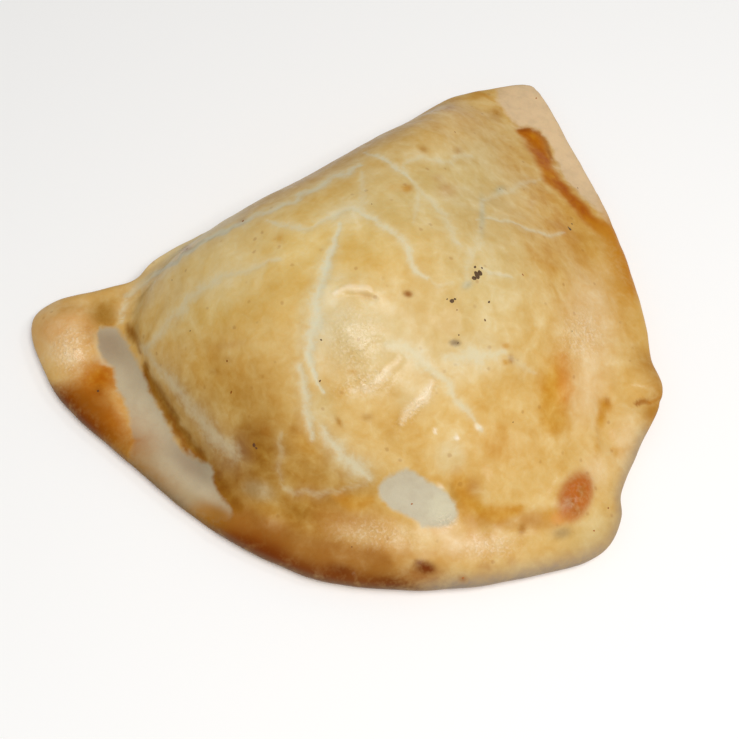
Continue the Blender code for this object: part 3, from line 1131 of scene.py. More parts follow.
    def surface(self, **inputs: Any) -> None:
        """End the tree in a Principled surface.

        Args:
            **inputs: Its inputs by name, with underscores for spaces.
        """
        node = self.add("BsdfPrincipled")
        for name, value in inputs.items():
            self.feed(node.inputs[name.replace("_", " ")], value)
        self.links.new(node.outputs[0], self.add("OutputMaterial").inputs["Surface"])


@dataclass(frozen=True)
class Weights:
    """How much each size of cloud adds to a value."""

    broad: float = 0.0
    middle: float = 0.0
    small: float = 0.0
    grain: float = 0.0


@dataclass(frozen=True)
class Clouds:
    """The cloudy patterns in the crust, in the graph that it is built in.

    Args:
        g: The graph.
        place: Coordinates in millimetres.
        broad: Clouds of about a centimetre.
        middle: Clouds of a few millimetres.
        small: Clouds below a millimetre.
        grain: The finest ones.
    """

    g: Graph
    place: Socket
    broad: Socket
    middle: Socket
    small: Socket
    grain: Socket

    def added(self, weights: Weights, *parts: tuple[Any, float]) -> Socket:
        """Add clouds to a sum.

        Args:
            weights: How much each size of cloud adds.
            *parts: The rest of the sum, as pairs of a value and its weight.

        Returns:
            The sum's socket.
        """
        sized = (
            (self.broad, weights.broad),
            (self.middle, weights.middle),
            (self.small, weights.small),
            (self.grain, weights.grain),
        )
        return self.g.total(*parts, *(pair for pair in sized if pair[1]))


@dataclass(frozen=True)
class CrustFinish:
    """Egg-glazed baked dough, read from the tones and fields on the skin.

    Sizes of cells and heights are in millimetres. A span gives where a smooth rise is 0 and where it
    is full, and weights say how far clouds shift what is measured against it.
    """

    broad: Pattern = Pattern(9.0, 3.0, 0.6)
    middle: Pattern = Pattern(2.6, 3.0, 0.4)
    small: Pattern = Pattern(0.8, 3.0)
    grain: Pattern = Pattern(0.22)
    pebbles: Pattern = Pattern(0.6, 1.0, 0.3)
    glaze_thickness: float = 1.04
    glaze_clouds: Weights = Weights(broad=1.0, middle=0.75, small=0.25)
    freckle_cell: float = 2.8
    freckle_chosen: Span = (0.56, 0.66)
    freckle_edge: Span = (0.2, 0.06)
    freckle_clouds: Weights = Weights(small=0.25)
    freckle_strength: float = 0.3
    bare_edge: Span = (0.75, -0.6)
    bare_clouds: Weights = Weights(broad=2.0, middle=1.8, small=0.3)
    dough_grey: Span = (-0.2, 0.4)
    dough_clouds: Weights = Weights(middle=1.0, small=0.4)
    dough_grey_strength: float = 0.35
    split_core: Span = (1.6, -0.3)
    split_core_clouds: Weights = Weights(middle=1.5, small=1.1)
    split_core_strength: float = 0.8
    split_halo: Span = (3.4, 0.6)
    split_halo_clouds: Weights = Weights(middle=1.2)
    split_halo_strength: float = 0.2
    web_cell: float = 19.0
    web_warp_scale: float = 0.12
    web_warp_shift: float = 9.0
    web_edge: Span = (0.035, 0.005)
    web_clouds: Weights = Weights(small=0.03)
    web_strength: float = 0.6
    web_gaps: Pattern = Pattern(16.0, 1.0)
    web_gap_edge: Span = (-0.12, 0.1)
    stain_clouds: Weights = Weights(middle=0.7, small=0.5)
    # Where and how strongly pale grains of painted highlight are laid.
    painted_glint_edge: Span = (-0.05, 0.2)
    painted_glint_strength: float = 0.4
    base_baked: Span = (-0.35, 0.5)
    base_clouds: Weights = Weights(broad=1.4, middle=0.8, small=0.4)
    shade_clouds: Weights = Weights(middle=0.10, small=0.10, grain=0.08)
    glaze_roughness: float = 0.36
    bare_roughness: float = 0.68
    split_roughness: float = 0.12
    rough_clouds: Weights = Weights(middle=0.2, small=0.25)
    glaze_coat: float = 0.2
    pebble_coat: float = 0.3
    height_clouds: Weights = Weights(middle=0.10, small=0.02, grain=0.01)
    pebble_height: float = 0.36
    split_height: float = -0.03
    bare_height: float = -0.03
    coat_roughness: float = 0.14
    coat_ior: float = 1.4
    ior: float = 1.36
    specular_level: float = 0.05
    scatter_weight: float = 0.06
    scatter_radius: tuple[float, float, float] = (1.0, 0.55, 0.25)
    scatter_depth: float = 0.8

    def make(self) -> bpy.types.Material:
        """Build the material.

        Returns:
            The material, ready for the skin.
        """
        g = Graph("glazed_crust")
        place = g.place()
        sizes = (self.broad, self.middle, self.small, self.grain)
        clouds = Clouds(g, place, *(g.noise(place, pattern) for pattern in sizes))
        grains = g.noise(place, self.pebbles)
        under = g.field("under")
        bare = g.ease(clouds.added(self.bare_clouds, (g.field("bare"), 1.0)), *self.bare_edge)
        veins = self.vein_mask(clouds)

        colour = g.mix(bare, self.glazed(clouds), self.bare_dough(clouds))
        colour = g.mix(veins, colour, Tone.CREAM.linear())
        uneven = clouds.added(self.stain_clouds, (1.0, 1.0))
        stain = g.math("MULTIPLY", g.field("toast"), uneven, clamp=True)
        colour = g.mix(stain, colour, g.colour_field("toast_tone"))
        # Pale grains in the pebbled places: painted highlight.
        painted_glint = g.ease(grains, *self.painted_glint_edge, self.painted_glint_strength)
        painted_glint = g.math("MULTIPLY", painted_glint, g.field("pebbled"))
        colour = g.mix(painted_glint, colour, Tone.PAINTED_GLINT.linear())
        colour = g.mix(under, colour, self.underside(clouds))
        shade = clouds.added(self.shade_clouds, (1.0, 1.0))
        colour = g.mix(1.0, colour, g.grey(shade), "MULTIPLY")

        dry = g.math("MAXIMUM", bare, under)
        drier = self.bare_roughness - self.glaze_roughness
        rough = clouds.added(
            self.rough_clouds, (dry, drier), (veins, self.split_roughness), (1.0, self.glaze_roughness)
        )
        shine = g.total((g.field("pebbled"), self.pebble_coat), (1.0, self.glaze_coat))
        shine = g.math("MULTIPLY", g.field("gloss"), shine)
        pebble = g.math("MULTIPLY", grains, g.field("pebbled"))
        sunk = (veins, self.split_height), (bare, self.bare_height)
        height = clouds.added(self.height_clouds, (pebble, self.pebble_height), *sunk)
        g.surface(
            Base_Color=colour,
            Roughness=rough,
            Normal=g.bump(height),
            Coat_Weight=g.math("MULTIPLY", g.math("SUBTRACT", 1.0, dry), shine),
            Coat_Roughness=self.coat_roughness,
            Coat_IOR=self.coat_ior,
            IOR=self.ior,
            Specular_IOR_Level=self.specular_level,
            Subsurface_Weight=self.scatter_weight,
            Subsurface_Radius=self.scatter_radius,
            Subsurface_Scale=self.scatter_depth * MM,
        )
        return g.material

    def glazed(self, clouds: Clouds) -> Socket:
        """Colour the glaze: the painted tone with clouds and freckles in it.

        Args:
            clouds: The cloudy patterns.

        Returns:
            The glaze's colour.
        """
        g = clouds.g
        thick = g.add("Gamma")
        g.feed(thick.inputs["Color"], g.colour_field("tone"))
        g.feed(thick.inputs["Gamma"], clouds.added(self.glaze_clouds, (1.0, self.glaze_thickness)))
        cells = g.cells(clouds.place, self.freckle_cell)
        chosen = g.ease(cells.outputs["Color"], *self.freckle_chosen)
        away = clouds.added(self.freckle_clouds, (cells.outputs["Distance"], 1.0))
        freckle = g.math("MULTIPLY", g.ease(away, *self.freckle_edge), chosen)
        freckle = g.math("MULTIPLY", freckle, self.freckle_strength)
        return g.mix(freckle, thick.outputs[0], Tone.BROWN.linear())

    def bare_dough(self, clouds: Clouds) -> Socket:
        """Colour dough that the glaze missed.

        Args:
            clouds: The cloudy patterns.

        Returns:
            The dough's colour.
        """
        g = clouds.g
        grey = g.ease(clouds.added(self.dough_clouds), *self.dough_grey, self.dough_grey_strength)
        return g.mix(grey, g.colour_field("dough"), Tone.GREY_DOUGH.linear())

    def vein_mask(self, clouds: Clouds) -> Socket:
        """Find where the glaze has split.

        Args:
            clouds: The cloudy patterns.

        Returns:
            The share of pale dough that shows through.
        """
        g = clouds.g
        split = (g.field("split"), 1.0)
        core = clouds.added(self.split_core_clouds, split)
        core = g.ease(core, *self.split_core, self.split_core_strength)
        halo = clouds.added(self.split_halo_clouds, split)
        halo = g.ease(halo, *self.split_halo, self.split_halo_strength)
        seen = g.math("MULTIPLY", g.math("ADD", core, halo), g.field("split_strength"))
        warped = g.warped(clouds.place, self.web_warp_scale, self.web_warp_shift)
        edges = g.cells(warped, self.web_cell, "DISTANCE_TO_EDGE").outputs["Distance"]
        web = g.ease(clouds.added(self.web_clouds, (edges, 1.0)), *self.web_edge, self.web_strength)
        web = g.math("MULTIPLY", web, g.field("hidden"))
        gap = g.ease(g.noise(clouds.place, self.web_gaps), *self.web_gap_edge)
        return g.math("MAXIMUM", seen, g.math("MULTIPLY", web, gap))

    def underside(self, clouds: Clouds) -> Socket:
        """Colour the dry base that lay on the baking tray.

        Args:
            clouds: The cloudy patterns.

        Returns:
            The base's colour.
        """
        g = clouds.g
        baked = g.ease(clouds.added(self.base_clouds), *self.base_baked)
        return g.mix(baked, Tone.TAN.linear(), Tone.BROWN.linear())


@dataclass(frozen=True)
class PlainFinish:
    """A finish of one colour with a fine cloud in it."""

    name: str
    tone: Tone
    roughness: float = 0.5
    cloud: Pattern = Pattern(0.35)
    cloud_edge: Span = (-0.2, 0.25)
    darkest: float = 0.7
    specular_level: float = 0.1

    def make(self) -> bpy.types.Material:
        """Build the material.

        Returns:
            The material, ready for a piece.
        """
        g = Graph(self.name)
        cloud = g.noise(g.place(), self.cloud)
        dark = tuple(part * self.darkest for part in self.tone.linear()[:3]) + (1.0,)
        colour = g.mix(g.ease(cloud, *self.cloud_edge), dark, self.tone.linear())
        g.surface(Base_Color=colour, Roughness=self.roughness, Specular_IOR_Level=self.specular_level)
        return g.material


# ---------------------------------------------------------------------------------------------------
# The skin


@dataclass(frozen=True)
class Unevenness:
    """A cloudy unevenness in space.

    Args:
        amount: The most that it adds or takes away.
        size: The rough size of its clouds in millimetres.
        seed: A number that sets it apart from the others.
    """

    amount: float
    size: float
    seed: float

    def at(self, points: np.ndarray) -> np.ndarray:
        """Work out what it adds at some places.

        Args:
            points: The places in metres, one a row.

        Returns:
            The amount at each of them.
        """
        shift = Vector((self.seed, self.seed * 1.7, -self.seed))
        scaled = points / (MM * self.size)
        return self.amount * np.array([noise.noise(Vector(place) + shift) for place in scaled])


@dataclass
class Skin:
    """The turnover's outside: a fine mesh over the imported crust, with its relief, tones and fields.

    Lengths are in millimetres and angles in radians unless the name says otherwise. A span gives where
    a smooth rise is 0 and where it is 1. A facing is the cosine between the skin's normal and the line
    to the camera, and a tip, a lip or a step of the base is a share of what it belongs to.
    """

    node: bpy.types.Object

    # the mesh
    levels: int = 2
    merge_gap: float = 0.001
    face_angle: float = 1.2
    shape_angle: float = 1.9
    fewest_corners: int = 70
    base_step: float = 0.25
    flat_base: float = 0.01

    # lines and outlines
    path_step_pixels: float = 4.0
    outline_step_pixels: float = 5.0
    wander_pixels: float = 4.0
    wander_size_pixels: float = 13.0
    wander_apart: float = 9.0
    uneven_width: float = 0.3
    uneven_width_size: float = 3.0
    narrowest_tip: float = 0.5
    taper_steps: int = 4
    search_widths: float = 4.0
    search_spare: float = 3.0
    outline_facing: Span = (-0.3, 0.0)
    oval_fall: float = 1.1
    oval_facing: Span = (-0.75, -0.25)

    # the relief
    lumps: Unevenness = Unevenness(0.22, 8.0, 3.1)
    peel: Unevenness = Unevenness(0.09, 3.4, 11.3)
    split_depth: float = 0.09
    split_floor: Span = (1.1, 0.2)
    split_lip: float = 0.4
    split_lip_inside: Span = (1.0, 1.4)
    split_lip_outside: Span = (2.4, 1.4)
    bare_depth: float = 0.10
    bare_step: Span = (0.3, -0.4)
    ridge_fall: float = 0.9
    seam_height: float = 1.9
    seam_wave: Unevenness = Unevenness(0.35, 9.0, 31.7)
    seam_depth: float = 0.22
    seam_width: Span = (0.7, 0.0)
    seam_level: Span = (0.5, 0.9)
    foot: Span = (0.0, 1.5)

    # the fields
    under_normal: Span = (-0.35, -0.8)
    under_height: Span = (1.6, 0.6)
    hidden_facing: Span = (0.22, -0.05)
    hidden_height: Span = (2.0, 4.0)
    gloss_normal: Span = (0.25, 0.65)

    # the tones
    back_strength: float = 0.75
    back_height: Span = (9.0, 2.5)
    back_facing: Span = (-0.05, -0.4)
    stroke_fall: float = 0.8
    stroke_crispness: int = 4
    rose_columns: Span = (420, 480)
    rose_rows: Span = (300, 240)
    low_strength: float = 0.6
    low_height: Span = (6.0, 1.5)
    low_facing: Span = (0.0, -0.35)
    middle: Pixel = (386, 360)
    rim_fade_degrees: float = 5.0
    rim_wave_degrees: Unevenness = Unevenness(5.0, 9.0, 41.3)
    rim_facing: Span = (-0.25, -0.02)

    # what is read from the mesh
    points: np.ndarray = field(default_factory=lambda: np.empty(0))
    normals: np.ndarray = field(default_factory=lambda: np.empty(0))
    pixels: np.ndarray = field(default_factory=lambda: np.empty(0))
    facing: np.ndarray = field(default_factory=lambda: np.empty(0))
    outline: tuple[np.ndarray, np.ndarray] = (np.empty(0), np.empty(0))

    @property
    def height(self) -> np.ndarray:
        """Give each point's height in millimetres."""
        return self.points[:, 2] / MM

    def coarse(self) -> bpy.types.Mesh:
        """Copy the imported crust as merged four-sided faces, open where its flat base was.

        Returns:
            The open mesh.
        """
        form = bmesh.new()
        form.from_mesh(self.node.data)
        bmesh.ops.remove_doubles(form, verts=form.verts, dist=self.merge_gap * MM)
        angles = {"angle_face_threshold": self.face_angle, "angle_shape_threshold": self.shape_angle}
        bmesh.ops.join_triangles(form, faces=form.faces, **angles)
        flat = [f for f in form.faces if all(v.co.z < self.flat_base * MM for v in f.verts)]
        bmesh.ops.delete(form, geom=flat, context="FACES")
        mesh = bpy.data.meshes.new("open_skin")
        form.to_mesh(mesh)
        form.free()
        return mesh

    def base_edge(self, form: bmesh.types.BMesh) -> list[bmesh.types.BMVert]:
        """Walk round the opening.

        Args:
            form: The open skin.

        Returns:
            The opening's corners in order.
        """
        edges = {e for e in form.edges if e.is_boundary}
        first = min(edges, key=lambda e: e.index)
        edges.discard(first)
        loop = list(first.verts)
        while True:
            following = next((e for e in loop[-1].link_edges if e in edges), None)
            if following is None:
                return loop
            edges.discard(following)
            corner = following.other_vert(loop[-1])
            if corner is not loop[0]:
                loop.append(corner)

    def close_base(self, form: bmesh.types.BMesh) -> None:
        """Fill the opening with rings of faces, each with half the corners of the last.

        Args:
            form: The open skin, which is closed here.
        """
        ring = self.base_edge(form)
        for v in ring:
            v.co.z = 0.0
        centre = sum((v.co for v in ring), Vector()) / len(ring)
        while len(ring) % 2 == 0 and len(ring) > self.fewest_corners:
            inner = [form.verts.new(v.co.lerp(centre, self.base_step)) for v in ring[::2]]
            for i in range(0, len(ring), 2):
                near, far = inner[i // 2], inner[(i // 2 + 1) % len(inner)]
                form.faces.new((ring[i], ring[i + 1], near))
                form.faces.new((ring[i + 1], far, near))
                form.faces.new((ring[i + 1], ring[(i + 2) % len(ring)], far))
            ring = inner
        middle = form.verts.new(centre)
        for i in range(len(ring)):
            form.faces.new((ring[i], ring[(i + 1) % len(ring)], middle))

    def refine(self) -> bpy.types.Object:
        """Subdivide the copy, close its base, and keep its points and normals.

        Returns:
            The skin's object, not yet shaped further.
        """
        rough = bpy.data.objects.new("open_skin", self.coarse())
        bpy.context.scene.collection.objects.link(rough)
        divide = rough.modifiers.new("divide", "SUBSURF")
        divide.levels = divide.render_levels = self.levels
        mesh = bpy.data.meshes.new_from_object(rough.evaluated_get(bpy.context.evaluated_depsgraph_get()))
        bpy.data.objects.remove(rough)
        form = bmesh.new()
        form.from_mesh(mesh)
        self.close_base(form)
        bmesh.ops.recalc_face_normals(form, faces=form.faces)
        form.to_mesh(mesh)
        form.free()
        skin = bpy.data.objects.new("crust_skin", mesh)
        bpy.context.scene.collection.objects.link(skin)
        self.read(mesh)
        return skin

    def read(self, mesh: bpy.types.Mesh) -> None:
        """Take the mesh's points, normals and places in the picture.

        Args:
            mesh: The fine mesh, before its relief.
        """
        points, normals = np.empty(len(mesh.vertices) * 3), np.empty(len(mesh.vertices) * 3)
        mesh.vertices.foreach_get("co", points)
        mesh.vertex_normals.foreach_get("vector", normals)
        self.points, self.normals = points.reshape(-1, 3), normals.reshape(-1, 3)
        self.pixels = VIEW.project(self.points)
        sight = np.array(VIEW.place) - self.points
        sight /= np.linalg.norm(sight, axis=1, keepdims=True)
        self.facing = (sight * self.normals).sum(1)
        self.outline = self.outline_place()

    def faces(self, mesh: bpy.types.Mesh) -> BVHTree:
        """Give the mesh's triangles as a tree that rays can be cast at.

        Args:
            mesh: The fine mesh, before its relief.

        Returns:
            The tree.
        """
        mesh.calc_loop_triangles()
        corners = np.empty(len(mesh.loop_triangles) * 3, np.int32)
        mesh.loop_triangles.foreach_get("vertices", corners)
        return BVHTree.FromPolygons([Vector(p) for p in self.points], corners.reshape(-1, 3).tolist())

    def wandered(self, pixel: np.ndarray) -> np.ndarray:
        """Shift a pixel a little, alike for its neighbours, so that lines run unevenly.

        Args:
            pixel: Its column and row.

        Returns:
            The shifted column and row.
        """
        spot = Vector((*pixel, 0.0)) / self.wander_size_pixels
        apart = Vector((0.0, 0.0, self.wander_apart))
        return pixel + self.wander_pixels * np.array([noise.noise(spot), noise.noise(spot + apart)])

    def half_width(self, line: Line, step: int, steps: int) -> float:
        """Give a line's half width at one step of its path, tapered if it states no swell.

        Args:
            line: The line.
            step: The step's number, from 0.
            steps: How many steps the path has.

        Returns:
            The half width in millimetres.
        """
        if line.swell:
            at = step / max(steps - 1, 1) * (len(line.swell) - 1)
            return line.width * float(np.interp(at, range(len(line.swell)), line.swell))
        full = min(1.0, min(step, steps - 1 - step) / self.taper_steps)
        return line.width * (self.narrowest_tip + (1 - self.narrowest_tip) * full)

    def line_field(self, tree: BVHTree, lines: Iterable[Line]) -> tuple[np.ndarray, np.ndarray]:
        """Measure how far each point of the skin is from the nearest line.

        Args:
            tree: The skin's faces.
            lines: The lines to measure from.

        Returns:
            Distances as shares of the line's half width, and the nearest line's strength.
        """
        share = np.full(len(self.points), FAR)
        strength = np.zeros(len(self.points))
        places = self.points / MM
        for line in lines:
            pixels = [self.wandered(pixel) for pixel in spline(line.path, False, self.path_step_pixels)]
            path = [tree.ray_cast(VIEW.place, VIEW.ray(pixel))[0] for pixel in pixels]
            found = [np.array(p) / MM for p in path if p is not None]
            for i, (a, b) in enumerate(zip(found, found[1:])):
                uneven = 1 + self.uneven_width * noise.noise(Vector(a) / self.uneven_width_size)
                width = self.half_width(line, i, len(found) - 1) * uneven
                reach = width * self.search_widths + self.search_spare
                near = np.flatnonzero((np.abs(places - (a + b) / 2) < reach).all(1))
                run = b - a
                along = np.clip((places[near] - a) @ run / max(run @ run, TINY), 0, 1)
                away = np.linalg.norm(places[near] - a - along[:, None] * run, axis=1) / width
                closer = away < share[near]
                share[near[closer]] = away[closer]
                strength[near[closer]] = line.strength
        return np.minimum(share, FAR), strength

    def outline_field(self, outlines: Iterable[Sequence[Pixel]]) -> np.ndarray:
        """Measure how far each point is from some outlines: less than 0 inside, in millimetres.

        Args:
            outlines: Closed outlines in pixels.

        Returns:
            Signed distances; what the camera can't see counts as outside.
        """
        result = np.full(len(self.points), FAR)
        x, y = self.pixels.T
        for outline in outlines:
            corners = spline(outline, True, self.outline_step_pixels)
            away = np.full(len(self.points), np.inf)
            inside = np.zeros(len(self.points), bool)
            for a, b in zip(corners, np.roll(corners, -1, 0)):
                run = b - a
                along = np.clip((self.pixels - a) @ run / (run @ run + TINY), 0, 1)
                away = np.minimum(away, np.linalg.norm(self.pixels - a - along[:, None] * run, axis=1))
                if a[1] != b[1]:
                    crosses = (a[1] > y) != (b[1] > y)
                    inside ^= crosses & (x < (b[0] - a[0]) * (y - a[1]) / (b[1] - a[1]) + a[0])
            signed = np.where(inside, -away, away) * VIEW.pixel_mm
            signed += (1 - smooth_step(*self.outline_facing, self.facing)) * FAR
            result = np.minimum(result, signed)
        return np.clip(result, -FAR, FAR)

    def oval_share(self, oval: Oval | Wash) -> np.ndarray:
        """Work out how far each point of the skin lies in a soft oval.

        Args:
            oval: The oval.

        Returns:
            Shares, 1 at the oval's middle and 0 far from it or out of the camera's sight.
        """
        turn = math.radians(oval.turn)
        turned = np.array([[math.cos(turn), -math.sin(turn)], [math.sin(turn), math.cos(turn)]])
        offset = (self.pixels - np.array(oval.centre)) @ turned
        reach = np.linalg.norm(offset / np.array(oval.size), axis=1)
        share = np.exp(-self.oval_fall * reach**oval.crispness)
        return share * smooth_step(*self.oval_facing, self.facing)

    def most(self, ovals: Iterable[Oval]) -> np.ndarray:
        """Give at each point the largest amount that any of the ovals has there."""
        return np.max([oval.amount * self.oval_share(oval) for oval in ovals], 0)

    def relief(self, tree: BVHTree, split: np.ndarray, strength: np.ndarray, bare: np.ndarray) -> np.ndarray:
        """Work out the fine relief in millimetres.

        Args:
            tree: The skin's faces.
            split: Distance to the nearest split, as a share of its half width.
            strength: That split's strength.
            bare: Signed distance to bare dough.

        Returns:
            Heights along the normals.
        """
        rise = self.lumps.at(self.points)
        rise += self.peel.at(self.points)
        rise -= self.split_depth * strength * smooth_step(*self.split_floor, split)
        lip = smooth_step(*self.split_lip_inside, split) * smooth_step(*self.split_lip_outside, split)
        rise += self.split_lip * self.split_depth * strength * lip
        rise -= self.bare_depth * smooth_step(*self.bare_step, bare)
        for bump in BUMPS.values():
            rise += bump.amount * self.oval_share(bump)
        for ridge in RIDGES.values():
            away, _ = self.line_field(tree, [ridge.line])
            rise += ridge.rise * np.exp(-self.ridge_fall * away**2)
        from_seam = np.abs(self.height - self.seam_height - self.seam_wave.at(self.points))
        upright = smooth_step(*self.seam_level, 1 - np.abs(self.normals[:, 2]))
        rise -= self.seam_depth * smooth_step(*self.seam_width, from_seam) * upright
        return rise * smooth_step(*self.foot, self.height)

    def dress(self) -> bpy.types.Object:
        """Build the skin with its relief, fields, tones and finish.

        Returns:
            The finished piece.
        """
        skin = self.refine()
        mesh = skin.data
        tree = self.faces(mesh)
        split, strength = self.line_field(tree, SPLITS.values())
        bare = self.outline_field(BARE.values())
        toast, toast_tone = self.toasted()
        up = self.normals[:, 2]
        hidden = smooth_step(*self.hidden_facing, self.facing)
        fields = {
            "split": split,
            "split_strength": strength,
            "bare": bare,
            "under": smooth_step(*self.under_normal, up) * smooth_step(*self.under_height, self.height),
            "hidden": hidden * smooth_step(*self.hidden_height, self.height),
            "gloss": smooth_step(*self.gloss_normal, up) * (1 - self.most(DULL.values())),
            "pebbled": self.most(PEBBLED.values()),
            "toast": toast,
        }
        tones = {"tone": self.painted(tree), "toast_tone": toast_tone, "dough": self.floured()}
        moved = self.points + self.normals * (self.relief(tree, split, strength, bare) * MM)[:, None]
        moved[:, 2] = np.maximum(moved[:, 2], 0.0)
        mesh.vertices.foreach_set("co", moved.ravel())
        for name, values in fields.items():
            layer = mesh.attributes.new(name, "FLOAT", "POINT")
            layer.data.foreach_set("value", values.astype(np.float32))
        for name, colours in tones.items():
            layer = mesh.attributes.new(name, "FLOAT_COLOR", "POINT")
            full = np.concatenate([colours, np.ones((len(colours), 1))], 1)
            layer.data.foreach_set("color", full.astype(np.float32).ravel())
        mesh.shade_smooth()
        mesh.update()
        mesh.materials.clear()
        mesh.materials.append(CrustFinish().make())
        return skin

    def laid(self, colour: np.ndarray, tone: Tone, share: np.ndarray) -> np.ndarray:
        """Lay one tone over the colours.

        Args:
            colour: The colours so far, one a row.
            tone: The tone to lay.
            share: How far it replaces each of them.

        Returns:
            The new colours.
        """
        return colour + (np.array(tone.linear()[:3]) - colour) * share[:, None]

    def washed(self, colour: np.ndarray, washes: Iterable[Wash]) -> np.ndarray:
        """Lay soft ovals of colour in their order.

        Args:
            colour: The colours so far, one a row.
            washes: The ovals.

        Returns:
            The new colours.
        """
        for wash in washes:
            colour = self.laid(colour, wash.tone, wash.strength * self.oval_share(wash))
        return colour

    def plain(self, tone: Tone) -> np.ndarray:
        """Give that tone at each point."""
        return np.tile(np.array(tone.linear()[:3]), (len(self.points), 1))

    def painted(self, tree: BVHTree) -> np.ndarray:
        """Colour the glaze: gold, then the washes, the strokes and the spots.

        Args:
            tree: The skin's faces.

        Returns:
            Colours in linear light, one a row.
        """
        back = smooth_step(*self.back_height, self.height) * smooth_step(*self.back_facing, self.facing)
        colour = self.laid(self.plain(Tone.GOLD), Tone.AMBER, self.back_strength * back)
        colour = self.washed(colour, chain(*WASHES.values()))
        for stroke in STROKES.values():
            away, strength = self.line_field(tree, [stroke.line])
            soft = np.exp(-self.stroke_fall * away**self.stroke_crispness)
            colour = self.laid(colour, stroke.tone, strength * soft)
        return self.washed(colour, chain(*SPOTS.values()))

    def floured(self) -> np.ndarray:
        """Colour the dough that the glaze missed, rosier on the flap.

        Returns:
            Colours in linear light, one a row.
        """
        columns, rows = self.pixels.T
        rose = smooth_step(*self.rose_columns, columns) * smooth_step(*self.rose_rows, rows)
        colour = self.laid(self.plain(Tone.DOUGH), Tone.ROSE_DOUGH, rose)
        return self.washed(colour, DOUGH_WASHES.values())

    def toasted(self) -> tuple[np.ndarray, np.ndarray]:
        """Work out how dark the crust is baked, and in which colour.

        Returns:
            Shares from 0 to 1, and colours.
        """
        layers = [(rim.tone, self.rim_share(rim)) for rim in chain(*RIMS.values())]
        layers += [(wash.tone, wash.strength * self.oval_share(wash)) for wash in chain(*TOAST.values())]
        low = smooth_step(*self.low_height, self.height) * smooth_step(*self.low_facing, self.facing)
        layers.append((Tone.CINNAMON, self.low_strength * low))
        covered = np.zeros(len(self.points))
        colour = np.zeros((len(self.points), 3))
        for tone, share in layers:
            colour = self.laid(colour, tone, share)
            covered += (1 - covered) * share
        return covered, colour / np.maximum(covered, LEAST)[:, None]

    def outline_place(self) -> tuple[np.ndarray, np.ndarray]:
        """Find where each point shows against the crust's outline.

        Returns:
            Angles round the picture's middle in degrees, and pixels inside the outline.
        """
        offset = self.pixels - np.array(self.middle)
        angle = np.degrees(np.arctan2(offset[:, 1], offset[:, 0])) % 360
        reach = np.linalg.norm(offset, axis=1)
        farthest = np.zeros(360)
        np.maximum.at(farthest, angle.astype(int) % 360, reach)
        around = np.arange(360) + 0.5
        edge = np.interp(angle, around, farthest, period=360)
        slope = (np.roll(farthest, -1) - np.roll(farthest, 1)) / math.radians(2)
        lean = np.hypot(1.0, np.interp(angle, around, slope, period=360) / edge)
        return angle + self.rim_wave_degrees.at(self.points), (edge - reach) / lean

    def rim_share(self, rim: Rim) -> np.ndarray:
        """Work out how strongly a rim's tone lies on each point.

        Args:
            rim: The rim.

        Returns:
            Shares from 0 to the rim's strength.
        """
        angle, depth = self.outline
        half = (rim.end - rim.start) / 2
        off = np.abs((angle - rim.start - half + 180) % 360 - 180)
        window = smooth_step(half + self.rim_fade_degrees, half - self.rim_fade_degrees, off)
        window *= smooth_step(*self.rim_facing, self.facing)
        return rim.strength * window * np.exp(-((np.maximum(depth, 0) / rim.reach) ** 2))


# ---------------------------------------------------------------------------------------------------
# The flecks


